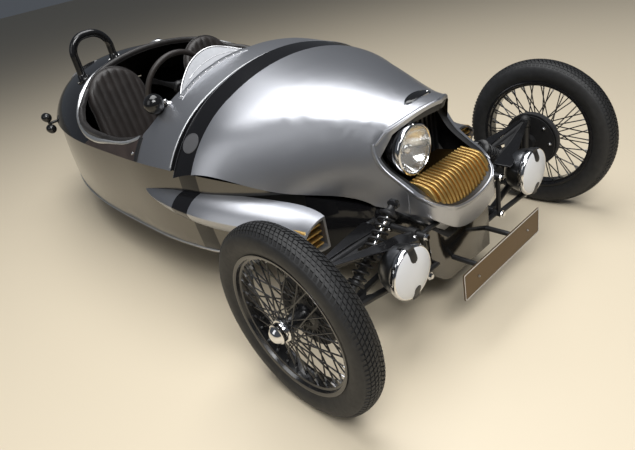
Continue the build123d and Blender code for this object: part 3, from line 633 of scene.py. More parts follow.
roll_path = along_edge(-15.0, -3.0)
roll_last = len(roll_path) - 1
rows = []
for i, p in enumerate(roll_path):
    ahead = unit(roll_path[min(i + 1, roll_last)] - roll_path[max(i - 1, 0)])
    out, normal = edge_out[behind[0] + i]
    out = unit(out - ahead * out.dot(ahead))
    up = unit(ahead.cross(out))
    if up.dot(normal) < 0:
        up = -up
    taper = min(1.0, 0.35 + min(i, roll_last - i) / 5)
    size = taper * (1.0 - 0.05 * abs(math.sin(i * math.pi / 3.0)) ** 6)
    wide, high = 0.0155 * size, 0.0175 * size
    rows.append([p + out * (wide * math.cos(a)) + up * (high * math.sin(a)) for a in angles(14)])
piece("coaming_roll", capped(rows), "leather_dark", angle=60)
seam = [row[9] + unit(row[9] - p) * 0.0004 for row, p in zip(rows, roll_path)]
piece("coaming_seam", tube(seam, 1.6, 6), "leather_dark")


# Beads, straps and roundels on the body's skins
def section_line(skin, station, low, steps=60):
    """Points round the upper skin at one station, above a height, from the car's right to its left."""
    path = []
    for i in range(steps + 1):
        t = math.pi * i / steps
        origin = at(-1200 * math.cos(t), station, low + 900 * math.sin(t))
        target = at(0, station, low + 60 * math.sin(t))
        place, normal, _, _ = skin.ray_cast(origin, unit(target - origin))
        if place is not None and place.z * 1000 >= low - 1:
            path.append(place + unit(normal) * 0.001)
    return path


piece("scuttle_bead", tube(section_line(upper_skin, 815, 655), 2.6, 8), "bright")


def sill_and_waist(name, side):
    """The bright strips low and high on the hull, and the dark strip inside that closes its joint."""
    rows = []
    for station in range(560, 2800, 70):
        place, normal = beside(flank_skin, side, station, 258)
        if place is not None:
            up = Vector((0, 0, 1)) - unit(normal) * unit(normal).z
            rows.append(slab(place, unit(normal), up, (-1, 7), (5, 5), (5, -5), (-1, -7)))
    piece(f"sill_trim_{name}", loops(rows), "bright")
    waist = []
    for station in range(1090, 2860, 60):
        place, _ = beside(flank_skin, side, station, 640)
        if place is not None:
            waist.append(Vector((place.x - side * 0.001, place.y, 0.6465)))
    piece(f"waist_bead_{name}", tube(smooth_path(waist, 2), 4.6, 10), "bright")
    rows = []
    for station in range(1085, 2930, 30):
        place = within(flank_skin, side, station, 630)
        if place is None:
            break
        rows.append([Vector((place.x - side * into, place.y, z)) for into, z in
                     ((0.001, 0.620), (0.001, 0.668), (0.005, 0.668), (0.005, 0.620))])
    piece(f"waist_backing_{name}", capped(rows), "leather_dark")


def side_strap(name, side):
    """The strap over the seam between scuttle and deck, with its stud."""
    rows = []
    for z in range(652, 748, 12):
        place, normal = beside(upper_skin, side, 1068, z)
        if place is not None:
            rows.append(slab(place, unit(normal), Vector((0, 1, 0)), (-1, -12), (6, -10), (6, 10), (-1, 12)))
    piece(f"side_strap_{name}", loops(rows), "black_satin")
    place, normal = beside(upper_skin, side, 1110, 676)
    piece(f"side_stud_{name}", lathe([(0, 7), (2, 7), (4, 5), (5, 0)], place, normal, 20), "chrome")


def roundel(name, side):
    """A blank disc with a border on the band."""
    centre, normal = beside(bonnet_skin, side, 752, 735)
    flat = unit(normal.cross(Vector((0, 0, 1))))
    rise = unit(flat.cross(normal))

    def on_skin(radius, lift):
        path = []
        for a in angles(40):
            q = centre + (flat * math.cos(a) + rise * math.sin(a)) * (radius / 1000)
            place, n, _, _ = bonnet_skin.find_nearest(q)
            path.append(place + unit(n) * (lift / 1000))
        return path

    for part, section in (("face", ((1, 1.6), (20, 1.6), (40, 1.4))),
                          ("border", ((40, 0.5), (40, 2.0), (42, 2.0), (43, 0.2)))):
        piece(f"roundel_{part}_{name}", loops([on_skin(*spot) for spot in section]), "roundel_grey")


for name, side in FRONT.items():
    sill_and_waist(name, side)
    side_strap(name, side)
    roundel(name, side)


# Wheels
def tyre_profile(radius, width, bead, bead_half):
    """A tyre's section from its inboard bead over the tread to the outboard one."""
    half = width / 2
    depth = radius - bead
    side = [(bead_half, bead + 1), (bead_half + 6, bead + 0.17 * depth), (half - 3, bead + 0.3 * depth),
            (half, bead + 0.5 * depth), (half - 2, bead + 0.68 * depth), (half - 6, bead + 0.79 * depth),
            (0.84 * half, radius - 18.5), (0.70 * half, radius - 13.5), (0.5 * half, radius - 8.2),
            (0.22 * half, radius - 5.4)]
    return [(-a, r) for a, r in side] + [(a, r) for a, r in reversed(side)]


def crown_radius(x, radius, width, bead):
    """The radius of the tread blocks' tops at a distance from the tyre's middle."""
    half, depth = width / 2, radius - bead
    knots = [(0, radius), (0.22 * half, radius - 0.8), (0.5 * half, radius - 3.6), (0.70 * half, radius - 9),
             (half - 6, bead + 0.79 * depth), (half, bead + 0.5 * depth)]
    for (xa, ra), (xb, rb) in zip(knots, knots[1:]):
        if abs(x) <= xb:
            return ra + (rb - ra) * (abs(x) - xa) / (xb - xa)
    return knots[-1][1]


def tread_blocks(hub, out, tyre, count, middle, shoulders):
    """Raised blocks in rows of (inner edge, outer edge, share of pitch, skew, offset in pitches); mm."""
    rows = [(-middle[0], *middle)]
    rows += [(sign * x0, sign * x1, *rest) for sign in (1, -1) for x0, x1, *rest in shoulders]
    made = []
    for x0, x1, share, skew, offset in rows:
        for start in (turn + 2 * math.pi / count * offset for turn in angles(count)):
            top, low = [], []
            for x, lean in ((x0, 0.0), (x1, skew)):
                for part in (0.0, share):
                    a = start + 2 * math.pi / count * part + lean / tyre["radius"]
                    ray = Vector((0, math.cos(a), math.sin(a)))
                    r = crown_radius(x, **tyre)
                    top.append(hub + out * (x / 1000) + ray * (r / 1000))
                    low.append(hub + out * (x / 1000) + ray * ((r - 6.0) / 1000))
            made.append((top + low, [(0, 1, 3, 2), (0, 4, 5, 1), (2, 3, 7, 6), (0, 2, 6, 4), (1, 5, 7, 3)]))
    return join(*made)


RIM = [(-38, 250), (-38, 255), (-35.5, 256.5), (-33, 254), (-31, 246.5), (-21, 246), (-18, 239), (18, 239),
       (21, 246), (31, 246.5), (33, 254), (35.5, 256.5), (38, 255), (38, 250), (35, 243), (24, 240),
       (21, 233), (-21, 233), (-24, 240), (-35, 243), (-38, 250)]
HUB_SHELL = [(-52, 14.2), (-52, 50), (-49, 52), (-46, 52), (-43, 50), (-40, 38), (-30, 30), (28, 27),
             (34, 33), (38, 41), (41, 43), (45, 43), (47, 41), (47, 14.2)]
DRUM = [(-84, 119), (-84, 125), (-80, 126), (-78, 122), (-75, 122), (-73, 126), (-71, 122), (-68, 122),
        (-66, 126), (-64, 122), (-61, 122), (-59, 125), (-55, 124), (-50, 116), (-47, 100), (-45, 66),
        (-42, 60), (-42, 40), (-50, 40), (-50, 64), (-52, 98), (-58, 116), (-60, 119), (-84, 119)]
SPINNER = [(46.5, 36), (48, 39), (52, 40), (55, 38), (57, 33), (64, 31), (70, 31), (72, 34), (75, 34),
           (77, 30), (86, 25), (92, 19), (95.4, 10), (96, 0)]
SPOKES = 60


def radial(turn):
    return Vector((0, math.cos(turn), math.sin(turn)))


def front_wheel(name, side):
    """Tyre, rim, hub, brake drum, crossed spokes with their nipples, spinner and valve."""
    hub = Vector(JOINT_AT[f"wheel_{name}_spin"])
    out = Vector((side, 0, 0))
    body = f"wheel_{name}"
    piece(f"tyre_{name}", lathe(tyre_profile(**FRONT_TYRE, bead_half=31), hub, out, 56), "tread", body, 60,
          (f"front_tyre_{name}",))
    piece(f"rim_{name}", lathe(RIM, hub, out, 96), "rim_black", body, 40, (f"front_wheel_{name}",))
    piece(f"hub_{name}", lathe(HUB_SHELL, hub, out, 48), "rim_black", body, 40)
    piece(f"drum_{name}", lathe(DRUM, hub, out, 64), "cast_black", body, 40)
    wires, nipples = [], []
    for k, turn in enumerate(angles(SPOKES)):
        lean = math.radians(46 if k % 4 in (0, 3) else -46)
        seat, reach, rim_seat = (-48, 46, -9) if k % 2 == 0 else (43, 37, 9)
        a = hub + out * (seat / 1000) + radial(turn + lean) * (reach / 1000)
        b = hub + out * (rim_seat / 1000) + radial(turn) * 0.234
        wires.append(tube([a, b], 2.6, 8, caps=False))
        nipples.append(tube([b - unit(b - a) * 0.016, b + unit(b - a) * 0.002], 3.6, 8))
    piece(f"spokes_{name}", join(*wires), "rim_black", body, 60)
    piece(f"nipples_{name}", join(*nipples), "steel", body, 40)
    piece(f"spinner_{name}", lathe(SPINNER, hub, out, 48), "chrome", body, 30, (f"hub_cap_{name}",))
    flutes = []
    for ray in (radial(turn) for turn in angles(12)):
        flutes.append(tube([hub + out * 0.058 + ray * 0.0315, hub + out * 0.070 + ray * 0.0305], 2.2, 6))
    piece(f"spinner_flutes_{name}", join(*flutes), "chrome", body, 50)
    valve = hub + radial(0.7) * 0.232 + out * 0.012
    valve_end = valve - radial(0.7) * 0.034 + out * 0.006
    cap_end = valve_end + (valve_end - valve) * 0.35
    valve_shape = join(tube([valve, valve_end], 3.4), tube([valve_end, cap_end], 4.4))
    piece(f"valve_{name}", valve_shape, "rubber", body)
    shoulders = ((8, 17, 0.66, 7, 0.5), (19.5, 29, 0.66, 7, 0.0), (31.5, 39, 0.62, 3, 0.5))
    blocks_round = 118
    tread = tread_blocks(hub, out, FRONT_TYRE, blocks_round, (5.5, 0.74, 6, 0.0), shoulders)
    piece(f"tread_{name}", tread, "rubber", body, 20)


def rear_wheel():
    """The wide tyre; its wheel is the CAD node."""
    hub, out = Vector(JOINT_AT["wheel_rear_spin"]), Vector((1, 0, 0))
    tyre = lathe(tyre_profile(**REAR_TYRE, bead_half=78), hub, out, 56)
    piece("tyre_rear", tyre, "tread_rear", "wheel_rear", 60, ("rear_tyre",))
    shoulders = ((13, 29, 0.72, 8, 0.5), (33, 49, 0.72, 8, 0.0),
                 (53, 68, 0.7, 5, 0.5), (72, 84, 0.66, 3, 0.0))
    blocks_round = 88
    tread = tread_blocks(hub, out, REAR_TYRE, blocks_round, (9, 0.8, 8, 0.0), shoulders)
    piece("tread_back", tread, "rubber", "wheel_rear", 20)


# Front suspension
def damper(name, side):
    """Coil, body, rod, head and eyes, from the lower arm to the nose."""
    foot, head = at(side * 560, 0, 268), at(side * 262, 0, 500)
    lean = unit(head - foot)
    across = unit(lean.cross(Vector((0, 1, 0))))
    third = lean.cross(across)
    length = (head - foot).length
    turns, turn_steps = 9.5, 18
    low, high = 0.075, length - 0.052
    coil = []
    for k in range(int(turns * turn_steps) + 1):
        t = k / (turns * turn_steps)
        a = 2 * math.pi * turns * t
        height = low + (high - low) * (0.02 + 0.96 * t)
        coil.append(foot + lean * height + (across * math.cos(a) + third * math.sin(a)) * 0.0265)
    piece(f"spring_{name}", tube(coil, 4.6, 10), "black_satin", stands_for=(f"damper_{name}",))
    thread = [spot for z in range(94, 190, 4) for spot in ((z, 16.5), (z + 2, 15.2))]
    shell = [(10, 0), (10, 13), (16, 18), (58, 19), (60, 33), (66, 34), (68, 30), (74, 30), (76, 19),
             (92, 19), (94, 16.5), *thread, (190, 9)]
    piece(f"damper_body_{name}", lathe(shell, foot, lean, 28), "black_satin", angle=40)
    end = length * 1000
    piece(f"damper_rod_{name}", lathe([(150, 7.5), (end - 42, 7.5)], foot, lean, 18), "chrome")
    cap = [(end - back, r) for back, r in
           ((52, 9), (52, 31), (48, 34), (42, 34), (38, 24), (26, 15), (6, 13), (6, 0))]
    piece(f"damper_head_{name}", lathe(cap, foot, lean, 28), "black_satin", angle=40)
    eye = [(-14, 6), (-14, 15), (-12, 17), (12, 17), (14, 15), (14, 6)]
    eyes = []
    for centre in (foot + lean * 0.004, head - lean * 0.004):
        eyes.append(lathe(eye, centre, (0, 1, 0), 24))
        eyes += [bolt(centre + Vector((0, way * 0.0145, 0)), (0, way, 0), 15, 8) for way in (-1, 1)]
    piece(f"damper_eyes_{name}", join(*eyes), "black_gloss", angle=35)


def upright_trim(name, side):
    """Ball joint boots, the frame's bolts, and the studs and hose on the brake's back plate."""
    boot = [(0, 18), (3, 19), (6, 17), (9, 18), (12, 14), (16, 11), (18, 0)]
    boots = [lathe(boot, at(side * 655, 0, z), (0, 0, way), 28) for z, way in ((460, 1), (230, -1))]
    piece(f"joint_boots_{name}", join(*boots), "rubber", angle=50)
    bolts = []
    for z in (218, 384):
        for station in (-77, -39, 39, 77):
            bolts.append(bolt(at(side * 265, station, z), (side, 0, 0.2), 11, 6))
        bolts.append(bolt(at(side * 248, -112, z), (0, -1, 0), 20, 9))
    piece(f"frame_bolts_{name}", join(*bolts), "chrome", angle=35)
    back = at(side * 685, 0, FRONT_TYRE["radius"])
    studs = [bolt(back + radial(a) * 0.098, (-side, 0, 0), 11, 6) for a in angles(8)]
    piece(f"backplate_studs_{name}", join(*studs), "steel", f"steer_{name}")
    hose = [back + Vector((-side * into, behind_it, up)) for into, behind_it, up in
            ((0.002, 0.03, 0.058), (0.034, 0.044, 0.066), (0.058, 0.032, 0.056), (0.055, 0.012, 0.035))]
    piece(f"brake_hose_{name}", tube(smooth_path(hose), 4.5, 10), "rubber", f"steer_{name}")


def wishbone_blades(name, side):
    """The flat blades over the upper arms, with the pin at their inner end."""
    plan = ((640, 5), (640, 22), (600, 34), (470, 78), (318, 124), (300, 124),
            (300, 50), (318, 44), (470, 33), (600, 12))
    for way, tag in ((1, "rear"), (-1, "front")):
        outline = [at(side * x, way * station, 457 - (655 - x) * 0.1523) for x, station in plan]
        blade = prism(outline, (0, 0, 1), 7)
        piece(f"wishbone_blade_{tag}_{name}", blade, "black_gloss", angle=35, bevel=2.5)
    piece(f"blade_pin_{name}", tube([at(side * 300, 118, 398), at(side * 262, 120, 392)], 9, 12), "steel")


rear_wheel()
for name, side in FRONT.items():
    front_wheel(name, side)
    damper(name, side)
    upright_trim(name, side)
    wishbone_blades(name, side)


# Lamps
AHEAD = Vector((0, -1, 0))


def headlamp():
    """The clear lamp in the mouth: bucket, rim, reflector, bulb and shield behind domed glass."""
    head = at(-110, 9, 636)

    def spot(back, a, r):
        return head + AHEAD * back + Vector((math.cos(a), 0, math.sin(a))) * r

    profile = [(0, 93), (-24, 92), (-30, 88), (-40, 82), (-60, 78), (-80, 68), (-98, 52), (-110, 32),
               (-117, 0)]
    bucket = lathe(profile, head, AHEAD, 64)
    piece("headlamp_bucket", bucket, "black_gloss", angle=40, stands_for=("headlamp",))
    rim = [(-12, 93.5), (-4, 95), (3, 94.5), (7, 91), (7.5, 87), (4, 84), (0, 83.5), (-12, 84), (-12, 93.5)]
    piece("headlamp_rim", lathe(rim, head, AHEAD, 72), "chrome", angle=50)
    bowl = [(-1, 83), (-12, 78), (-30, 66), (-46, 48), (-56, 28), (-60, 12), (-60, 0)]
    piece("headlamp_reflector", lathe(bowl, head, AHEAD, 64), "mirror", angle=60)
    bulb = [(-60, 9), (-42, 9), (-40, 12), (-32, 14), (-24, 12), (-19, 7), (-17, 0)]
    piece("headlamp_bulb", lathe(bulb, head, AHEAD, 28), "white", angle=60)
    shield = [(-15, 0), (-15.5, 12), (-20, 19), (-24, 21), (-24.8, 20.5), (-20.8, 18.4), (-16.4, 12),
              (-16, 0)]
    legs = [tube([spot(-0.022, a, 0.019), spot(-0.052, a, 0.036)], 1.6, 6) for a in (0.5, 2.6, 4.7)]
    piece("headlamp_shield", join(lathe(shield, head, AHEAD, 32), *legs), "chrome", angle=50)
    dome = [(5.5 + 9.5 * (1 - (i / 14) ** 2), 84.5 * i / 14) for i in range(15)]
    dome += [(a - 3.0, r) for a, r in reversed(dome)]
    piece("headlamp_lens", lathe(dome, head, AHEAD, 72), "lens", angle=80)
    piece("headlamp_stay", tube([spot(-0.115, 0, 0), spot(-0.132, 0, 0)], 14, 20), "black_satin")
    screws = [bolt(spot(0.004, a, 0.0935), AHEAD, 5, 3) for a in (math.pi / 2, -math.pi / 2)]
    piece("headlamp_screws", join(*screws), "chrome")


# The radius of a side lamp's cover, in mm
COVER = 90.5


def on_cover(x, z):
    """How far a side lamp's cover stands forward at a place on its face, in mm."""
    return 1.0 + 17.5 * max(0.0, 1 - (x * x + z * z) / COVER ** 2) ** 0.8


def lamp_strap(lamp, way):
    """A strap that comes over the cover's edge from behind and ends in a round tongue on its face."""
    half_width = 16
    rows = []
    behind_rows = ((74, 73), (60, 81), (44, 88.5), (30, 93), (22, 98.6), (10, 98.8), (2, 97.5))
    section = ((-1, -1.6), (-1, 0.6), (-0.5, 1.2), (0, 1.5), (0.5, 1.2), (1, 0.6), (1, -1.6))
    for back, r in behind_rows if way > 0 else behind_rows[4:]:
        row = []
        for share, extra in section:
            x = half_width * share
            row.append(lamp + Vector((x, back, way * (math.sqrt(r * r - x * x) + extra))) / 1000)
        rows.append(row)
    for u in (k / 14 for k in range(15)):
        z = way * (98 - 52 * u)
        tongue = math.sqrt(max(0.0, 1 - ((u - 0.72) / 0.28) ** 2)) if u >= 0.72 else 1.0
        half = half_width * tongue + (0.05 if u >= 0.72 else 0.0)
        edge_lift = min(2.0, on_cover(0, z) + 1.4 if abs(z) < COVER else 2.0)
        row = []
        for share, extra in section:
            x = half * share
            forward = (on_cover(x, z) if x * x + z * z < COVER ** 2 else edge_lift) + 0.6 + extra
            row.append(lamp + Vector((x / 1000, -forward / 1000, z / 1000)))
        rows.append(row)
    return loops(rows, close_row=False)


def side_lamp(name, side):
    """A bowl on a foot, a bright ring and a white cover held by two straps."""
    lamp = at(side * 404, -170, 350)
    bowl = [(-2, 92), (-21, 92)]
    for k in range(15):
        t = math.pi / 2 * k / 14
        bowl.append((-22 - 92 * math.sin(t), 91 * math.cos(t) ** 0.72 if k < 14 else 0.0))
    piece(f"side_lamp_bowl_{name}", lathe(bowl, lamp, AHEAD, 64), "gun_metal", angle=50,
          stands_for=(f"side_lamp_{name}",))
    band = [(-24, 91.5), (-21, 96), (-17, 97.6), (-7, 97.6), (-3, 96.5), (0, 94), (1.5, 92.5), (1, 90),
            (-4, 90)]
    piece(f"side_lamp_ring_{name}", lathe(band, lamp, AHEAD, 72), "chrome", angle=50)
    cover = lathe([(on_cover(COVER * i / 16, 0), COVER * i / 16) for i in range(17)], lamp, AHEAD, 72)
    piece(f"side_lamp_cover_{name}", cover, "white", angle=80, stands_for=("lamp_covers",))
    for way, tag in ((1, "top"), (-1, "bottom")):
        piece(f"side_lamp_strap_{tag}_{name}", lamp_strap(lamp, way), "black_satin", angle=60)
    mount = tube([lamp + Vector((0, 0.045, -0.060)), lamp + Vector((0, 0.045, -0.088))], 17, 20)
    nut = bolt(lamp + Vector((0, 0.045, -0.116)), (0, 0, -1), 18, 9)
    piece(f"side_lamp_foot_{name}", join(mount, nut), "steel")


headlamp()
for name, side in FRONT.items():
    side_lamp(name, side)


# Seats: crowned leather panels with sewn flutes and piped edges
LEAN = math.radians(10)
FLUTE_WIDTH = 42


def swell(e):
    """A quarter round: 0 at the edge, 1 at a share of 1 inside it."""
    return math.sqrt(max(0.0, 1 - (1 - e) ** 2))


def groove(x):
    """0 on a seam between two flutes, 1 on a flute's crown."""
    return abs(math.sin(math.pi * x / FLUTE_WIDTH)) ** 0.55


def seat_back(name, side):
    """A leaning panel: straight sides that draw in, then a round top."""
    foot, low, shoulder, top = 60.0, 62.0, 560.0, 758.0
    foot_half, shoulder_half = 194.0, 166.0
    thick, roll, seam_depth, across_steps, up_steps = 58, 34.0, 7.0, 64, 44
    radius = (shoulder_half ** 2 + (top - shoulder) ** 2) / (2 * (top - shoulder))
    centre = top - radius
    face = Vector((0, -math.cos(LEAN), math.sin(LEAN)))
    up = Vector((0, math.sin(LEAN), math.cos(LEAN)))
    origin = at(side * 312, 1762, 169) - face * 0.031
    front, back = [], []
    for v in (low + (top - low) * (1 - (1 - k / up_steps) ** 1.35) for k in range(up_steps + 1)):
        if v <= shoulder:
            half = foot_half - (foot_half - shoulder_half) * (v - foot) / (shoulder - foot)
        else:
            half = math.sqrt(max(1.0, radius ** 2 - (v - centre) ** 2))
        row_front, row_back = [], []
        for k in range(across_steps + 1):
            s = math.sin(math.pi / 2 * (2 * k / across_steps - 1))
            x = s * half
            gap = half - abs(x) if v <= shoulder else radius - math.hypot(x, v - centre)
            e = min(1.0, max(0.0, min(gap, v - low)) / roll)
            puff = thick * 0.56 * swell(e) + seam_depth * (groove(x) - 1.0) * min(1.0, e * 1.2)
            sink = 5.0 * math.exp(-((v - 0.42 * top) / 110.0) ** 2) * (1 - s * s)
            p = origin + Vector((x / 1000, 0, 0)) + up * (v / 1000)
            row_front.append(p + face * ((puff - sink * e) / 1000))
            row_back.append(p - face * (thick * 0.5 * swell(e) / 1000))
        front.append(row_front)
        back.append(row_back)
    rows = [f + b[::-1] for f, b in zip(front, back)]
    verts, faces = loops(rows)
    loop = len(rows[0])
    for base in (0, len(verts) - loop):
        end = base + loop - 1
        faces += [(base + k, base + k + 1, end - 1 - k, end - k) for k in range(across_steps)]
    back_pad = piece(f"seat_back_{name}", (verts, faces), "leather", angle=70, stands_for=("seat_back",))
    border = [row[0] + face * 0.002 for row in front] + [row[-1] + face * 0.002 for row in reversed(front)]
    piece(f"seat_back_{name}_piping", tube(border, 5.0, 8), "leather_dark", angle=60)


def seat_cushion(name, side):
    """A seat cushion with lengthwise flutes, a rolled front and square piped edges."""
    middle, half, start, end, low = side * 286, 192, 1326, 1752, 170.5
    across_steps, along_steps = 52, 36
    tops, rows = [], []
    for s in (start + (end - start) * j / along_steps for j in range(along_steps + 1)):
        crest = 391 - 57 * max(0.0, (s - 1390) / 362) - 46 * max(0.0, 1 - (s - 1322) / 70) ** 2.2
        row = []
        for k in range(across_steps + 1):
            x = half * math.sin(math.pi / 2 * (2 * k / across_steps - 1))
            e = min(1.0, (half - abs(x)) / 30)
            dip = 9.6 * math.exp(-((s - 1560) / 120) ** 2) * max(0.0, 1 - (x / half) ** 2)
            row.append(at(middle + x, s, crest - 18 * (1 - swell(e)) - 7 * (1 - groove(x)) * e - dip))
        left = [at(middle + half + 1.5, s, z) for z in (row[-1].z * 1000 - 14, 285, 230, low)]
        right = [at(middle - half - 1.5, s, z) for z in (low, 230, 285, row[0].z * 1000 - 14)]
        tops.append(row)
        rows.append(row + left + right)
    cushion = piece(f"seat_cushion_{name}", capped(rows), "leather", angle=60, stands_for=("seat_cushion",))
    below = Vector((0, 0, -0.004))
    border = [row[0] + below for row in tops] + [row[-1] + below for row in reversed(tops)]
    piece(f"seat_cushion_{name}_piping", tube(border, 4.5, 8), "leather_dark", angle=60)


def side_trim(name, side):
    """A padded leather panel on the hull's inner wall, in tufts eight steps long."""
    steps = 96
    section = ((300, 0), (306, 0.7), (330, 1), (400, 1), (470, 1), (540, 1), (590, 1), (608, 0.7), (612, 0))
    rows = []
    for k in range(steps + 1):
        tuft = 0.35 + 0.65 * abs(math.sin(math.pi * k / 8)) ** 0.5
        row = []
        for z, full in section:
            inward = Vector((side * (0.002 + 0.010 * full * tuft), 0, 0))
            row.append(within(flank_skin, side, 1040 + 660 * k / steps, z) - inward)
        outer = Vector((side * 0.004, 0, 0))
        rows.append([row[0] + outer] + row + [row[-1] + outer])
    piece(f"side_trim_{name}", capped(rows), "leather_dark", angle=60)


# Steering wheel, dashboard and pedals
WHEEL_MIDDLE = Vector(JOINT_AT["steering_wheel_turn"])
WHEEL_STATION = 1190
PANEL_STATION = 975
TILT = math.radians(15)
SHAFT = Vector((0, math.cos(TILT), math.sin(TILT)))
BACKWARD = Vector((0, 1, 0))


def steering_wheel():
    """A leather rim, three waisted spokes and a blank boss with six screws."""
    body = "steering_wheel"
    flat = Vector((1, 0, 0))
    rise = SHAFT.cross(flat)

    def spoke_ray(a):
        return flat * math.cos(a) + rise * math.sin(a)

    rim = ring(WHEEL_MIDDLE, SHAFT, 159, 12.6, 96, 14)
    piece("steering_rim", rim, "leather", body, 80, ("steering_wheel",))
    spokes = []
    for out in (spoke_ray(math.radians(angle)) for angle in (90, 210, 330)):
        wide = SHAFT.cross(out)
        rows = []
        for t in (k / 12 for k in range(13)):
            half = 17 - 7 * math.sin(math.pi * min(1, t * 1.02)) - 2 * t
            middle = WHEEL_MIDDLE + out * ((26 + 128 * t) / 1000) + SHAFT * ((3 * t - 6) / 1000)
            rows.append([middle + wide * (w * half / 1000) + SHAFT * (h / 1000)
                         for w, h in ((-1, -2), (1, -2), (1, 2), (-1, 2))])
        spokes.append(loops(rows))
    piece("steering_spokes", join(*spokes), "steel", body, 40)
    boss = [(-20, 9.5), (-20, 26), (-10, 30), (2, 30), (8, 27), (11, 20), (12, 0)]
    piece("steering_boss", lathe(boss, WHEEL_MIDDLE, SHAFT, 48), "black_satin", body, 40)
    boss_ring = [(4, 24), (7, 27), (10, 24.5), (11.4, 20), (10.6, 19)]
    piece("steering_boss_ring", lathe(boss_ring, WHEEL_MIDDLE, SHAFT, 48), "chrome", body, 40)
    screws = [bolt(WHEEL_MIDDLE + spoke_ray(a) * 0.0245 + SHAFT * 0.0065, SHAFT, 4, 2.5) for a in angles(6)]
    piece("steering_screws", join(*screws), "steel", body, 40)
    stub = [WHEEL_MIDDLE - SHAFT * 0.083, WHEEL_MIDDLE - SHAFT * 0.018]
    piece("steering_stub", tube(stub, 8.9, 20), "steel", body, 40)


def dashboard():
    """Dials with plain marks and pointers, a row of switches and the column's shroud."""
    dials = ((-176, 836, 46), (-52, 846, 54), (66, 852, 34), (150, 848, 34), (-418, 772, 26))
    bezels, faces, glasses, marks = [], [], [], []
    for x, z, r in dials:
        centre = at(x, PANEL_STATION, z)
        bezel = [(0.5, r + 4), (5, r + 4), (7.5, r + 2.4), (8.5, r), (7, r - 2.5), (3, r - 3), (0.5, r - 3)]
        bezels.append(lathe(bezel, centre, BACKWARD, 48))
        faces.append(lathe([(2.2, r - 2.9), (2.2, 0)], centre, BACKWARD, 40))
        glasses.append(lathe([(5.8, r - 2.6), (6.4, 0)], centre, BACKWARD, 40))

        def on_face(a, radius, wide, lift):
            """A place at an angle on the dial and so far across the ray to it, in mm."""
            return centre + Vector((math.cos(a) * radius - math.sin(a) * wide, lift,
                                    math.sin(a) * radius + math.cos(a) * wide)) / 1000

        for k in range(11):
            a = math.radians(225 - 27 * k)
            w = 1.1 if k % 5 else 1.8
            mark = [on_face(a, radius, wide, 2.8)
                    for radius, wide in ((r - 14, -w), (r - 14, w), (r - 6, w), (r - 6, -w))]
            marks.append(prism(mark, BACKWARD, 0.4))
        pointer = [on_face(math.radians(205), radius, wide, 3.8)
                   for radius, wide in ((0, -2.2), (0, 2.2), (r - 10, 0))]
        marks.append(prism(pointer, BACKWARD, 0.5))
    piece("dial_bezels", join(*bezels), "chrome", angle=50)
    piece("dial_faces", join(*faces), "black_satin", angle=50)
    piece("dial_marks", join(*marks), "white", angle=30)
    piece("dial_glasses", join(*glasses), "lens", angle=50)
    levers, bases = [], []
    first, pitch = 232, 34
    for centre in (at(first + k * pitch, PANEL_STATION, 800) for k in range(5)):
        bases.append(lathe([(0.3, 9), (3, 9), (4.5, 7), (4.5, 3)], centre, BACKWARD, 20))
        path = [centre + Vector((0, back, up)) for back, up in ((0.004, 0), (0.022, 0.006), (0.026, 0.0075))]
        levers.append(tube(path, [2.2, 3.2, 3.4], 10))
    piece("switch_bases", join(*bases), "chrome", angle=40)
    piece("switch_levers", join(*levers), "chrome", angle=60)
    shroud = [(3, 30), (9, 30), (13, 24), (33, 21), (123, 20), (127, 19.2), (127, 9)]
    start = WHEEL_MIDDLE - SHAFT * ((WHEEL_STATION - PANEL_STATION) / 1000 / math.cos(TILT))
    piece("column_shroud", lathe(shroud, start, SHAFT, 40), "black_satin", angle=40)


def pedals():
    """Three pads on arms, hung from a bar across the footwell."""
    pad_station, pad_foot, pad_height = 735, 292, 76
    shapes = []
    for x in (-385, -300, -225):
        pad = [at(x + dx, pad_station + ds, pad_foot) for dx, ds in ((-28, -6), (28, -6), (28, 6), (-28, 6))]
        shapes.append(prism(pad, (0, 0, 1), pad_height))
        shapes.append(tube([at(x, 731, 360), at(x, 705, 420), at(x, 700, 470)], 8, 12))
    piece("pedals", join(*shapes), "steel", angle=40, bevel=1.5)
    piece("pedal_bar", tube([at(-582, 702, 474), at(582, 702, 474)], 11, 16), "black_satin")


for name, side in FRONT.items():
    seat_back(name, side)
    seat_cushion(name, side)
    side_trim(name, side)
steering_wheel()
dashboard()
pedals()


# Roll hoop's feet, mirror, tail lamps and plate
def hoop_feet():
    """A bolted flange and a collar where each leg of the hoop enters the deck."""
    hoop_station, tube_radius = 2066, 21.2
    for tag, x, height in (("outer", -398, 1040), ("inner", -182, 1020)):
        place, normal = drop(upper_skin, x, hoop_station, height)
        normal = unit(normal)
        start = place - normal * 0.001
        flange = lathe([(-4, 40), (4, 40), (6, 38), (6.5, 0)], start, normal, 40)
        collar = lathe([(-16, tube_radius), (-16, 27), (26, 25), (30, 22.8), (30, tube_radius)],
                       Vector((x / 1000, start.y, start.z)), (0, 0, 1), 40)
        flat = unit(normal.orthogonal())
        rise = normal.cross(flat)
        heads = []
        for a in (math.pi / 4 + turn for turn in angles(4)):
            ray = flat * math.cos(a) + rise * math.sin(a)
            heads.append(bolt(start + normal * 0.006 + ray * 0.032, normal, 7, 4))
        piece(f"hoop_foot_{tag}", join(flange, collar), "black_gloss", angle=40)
        piece(f"hoop_bolts_{tag}", join(*heads), "chrome", angle=35)


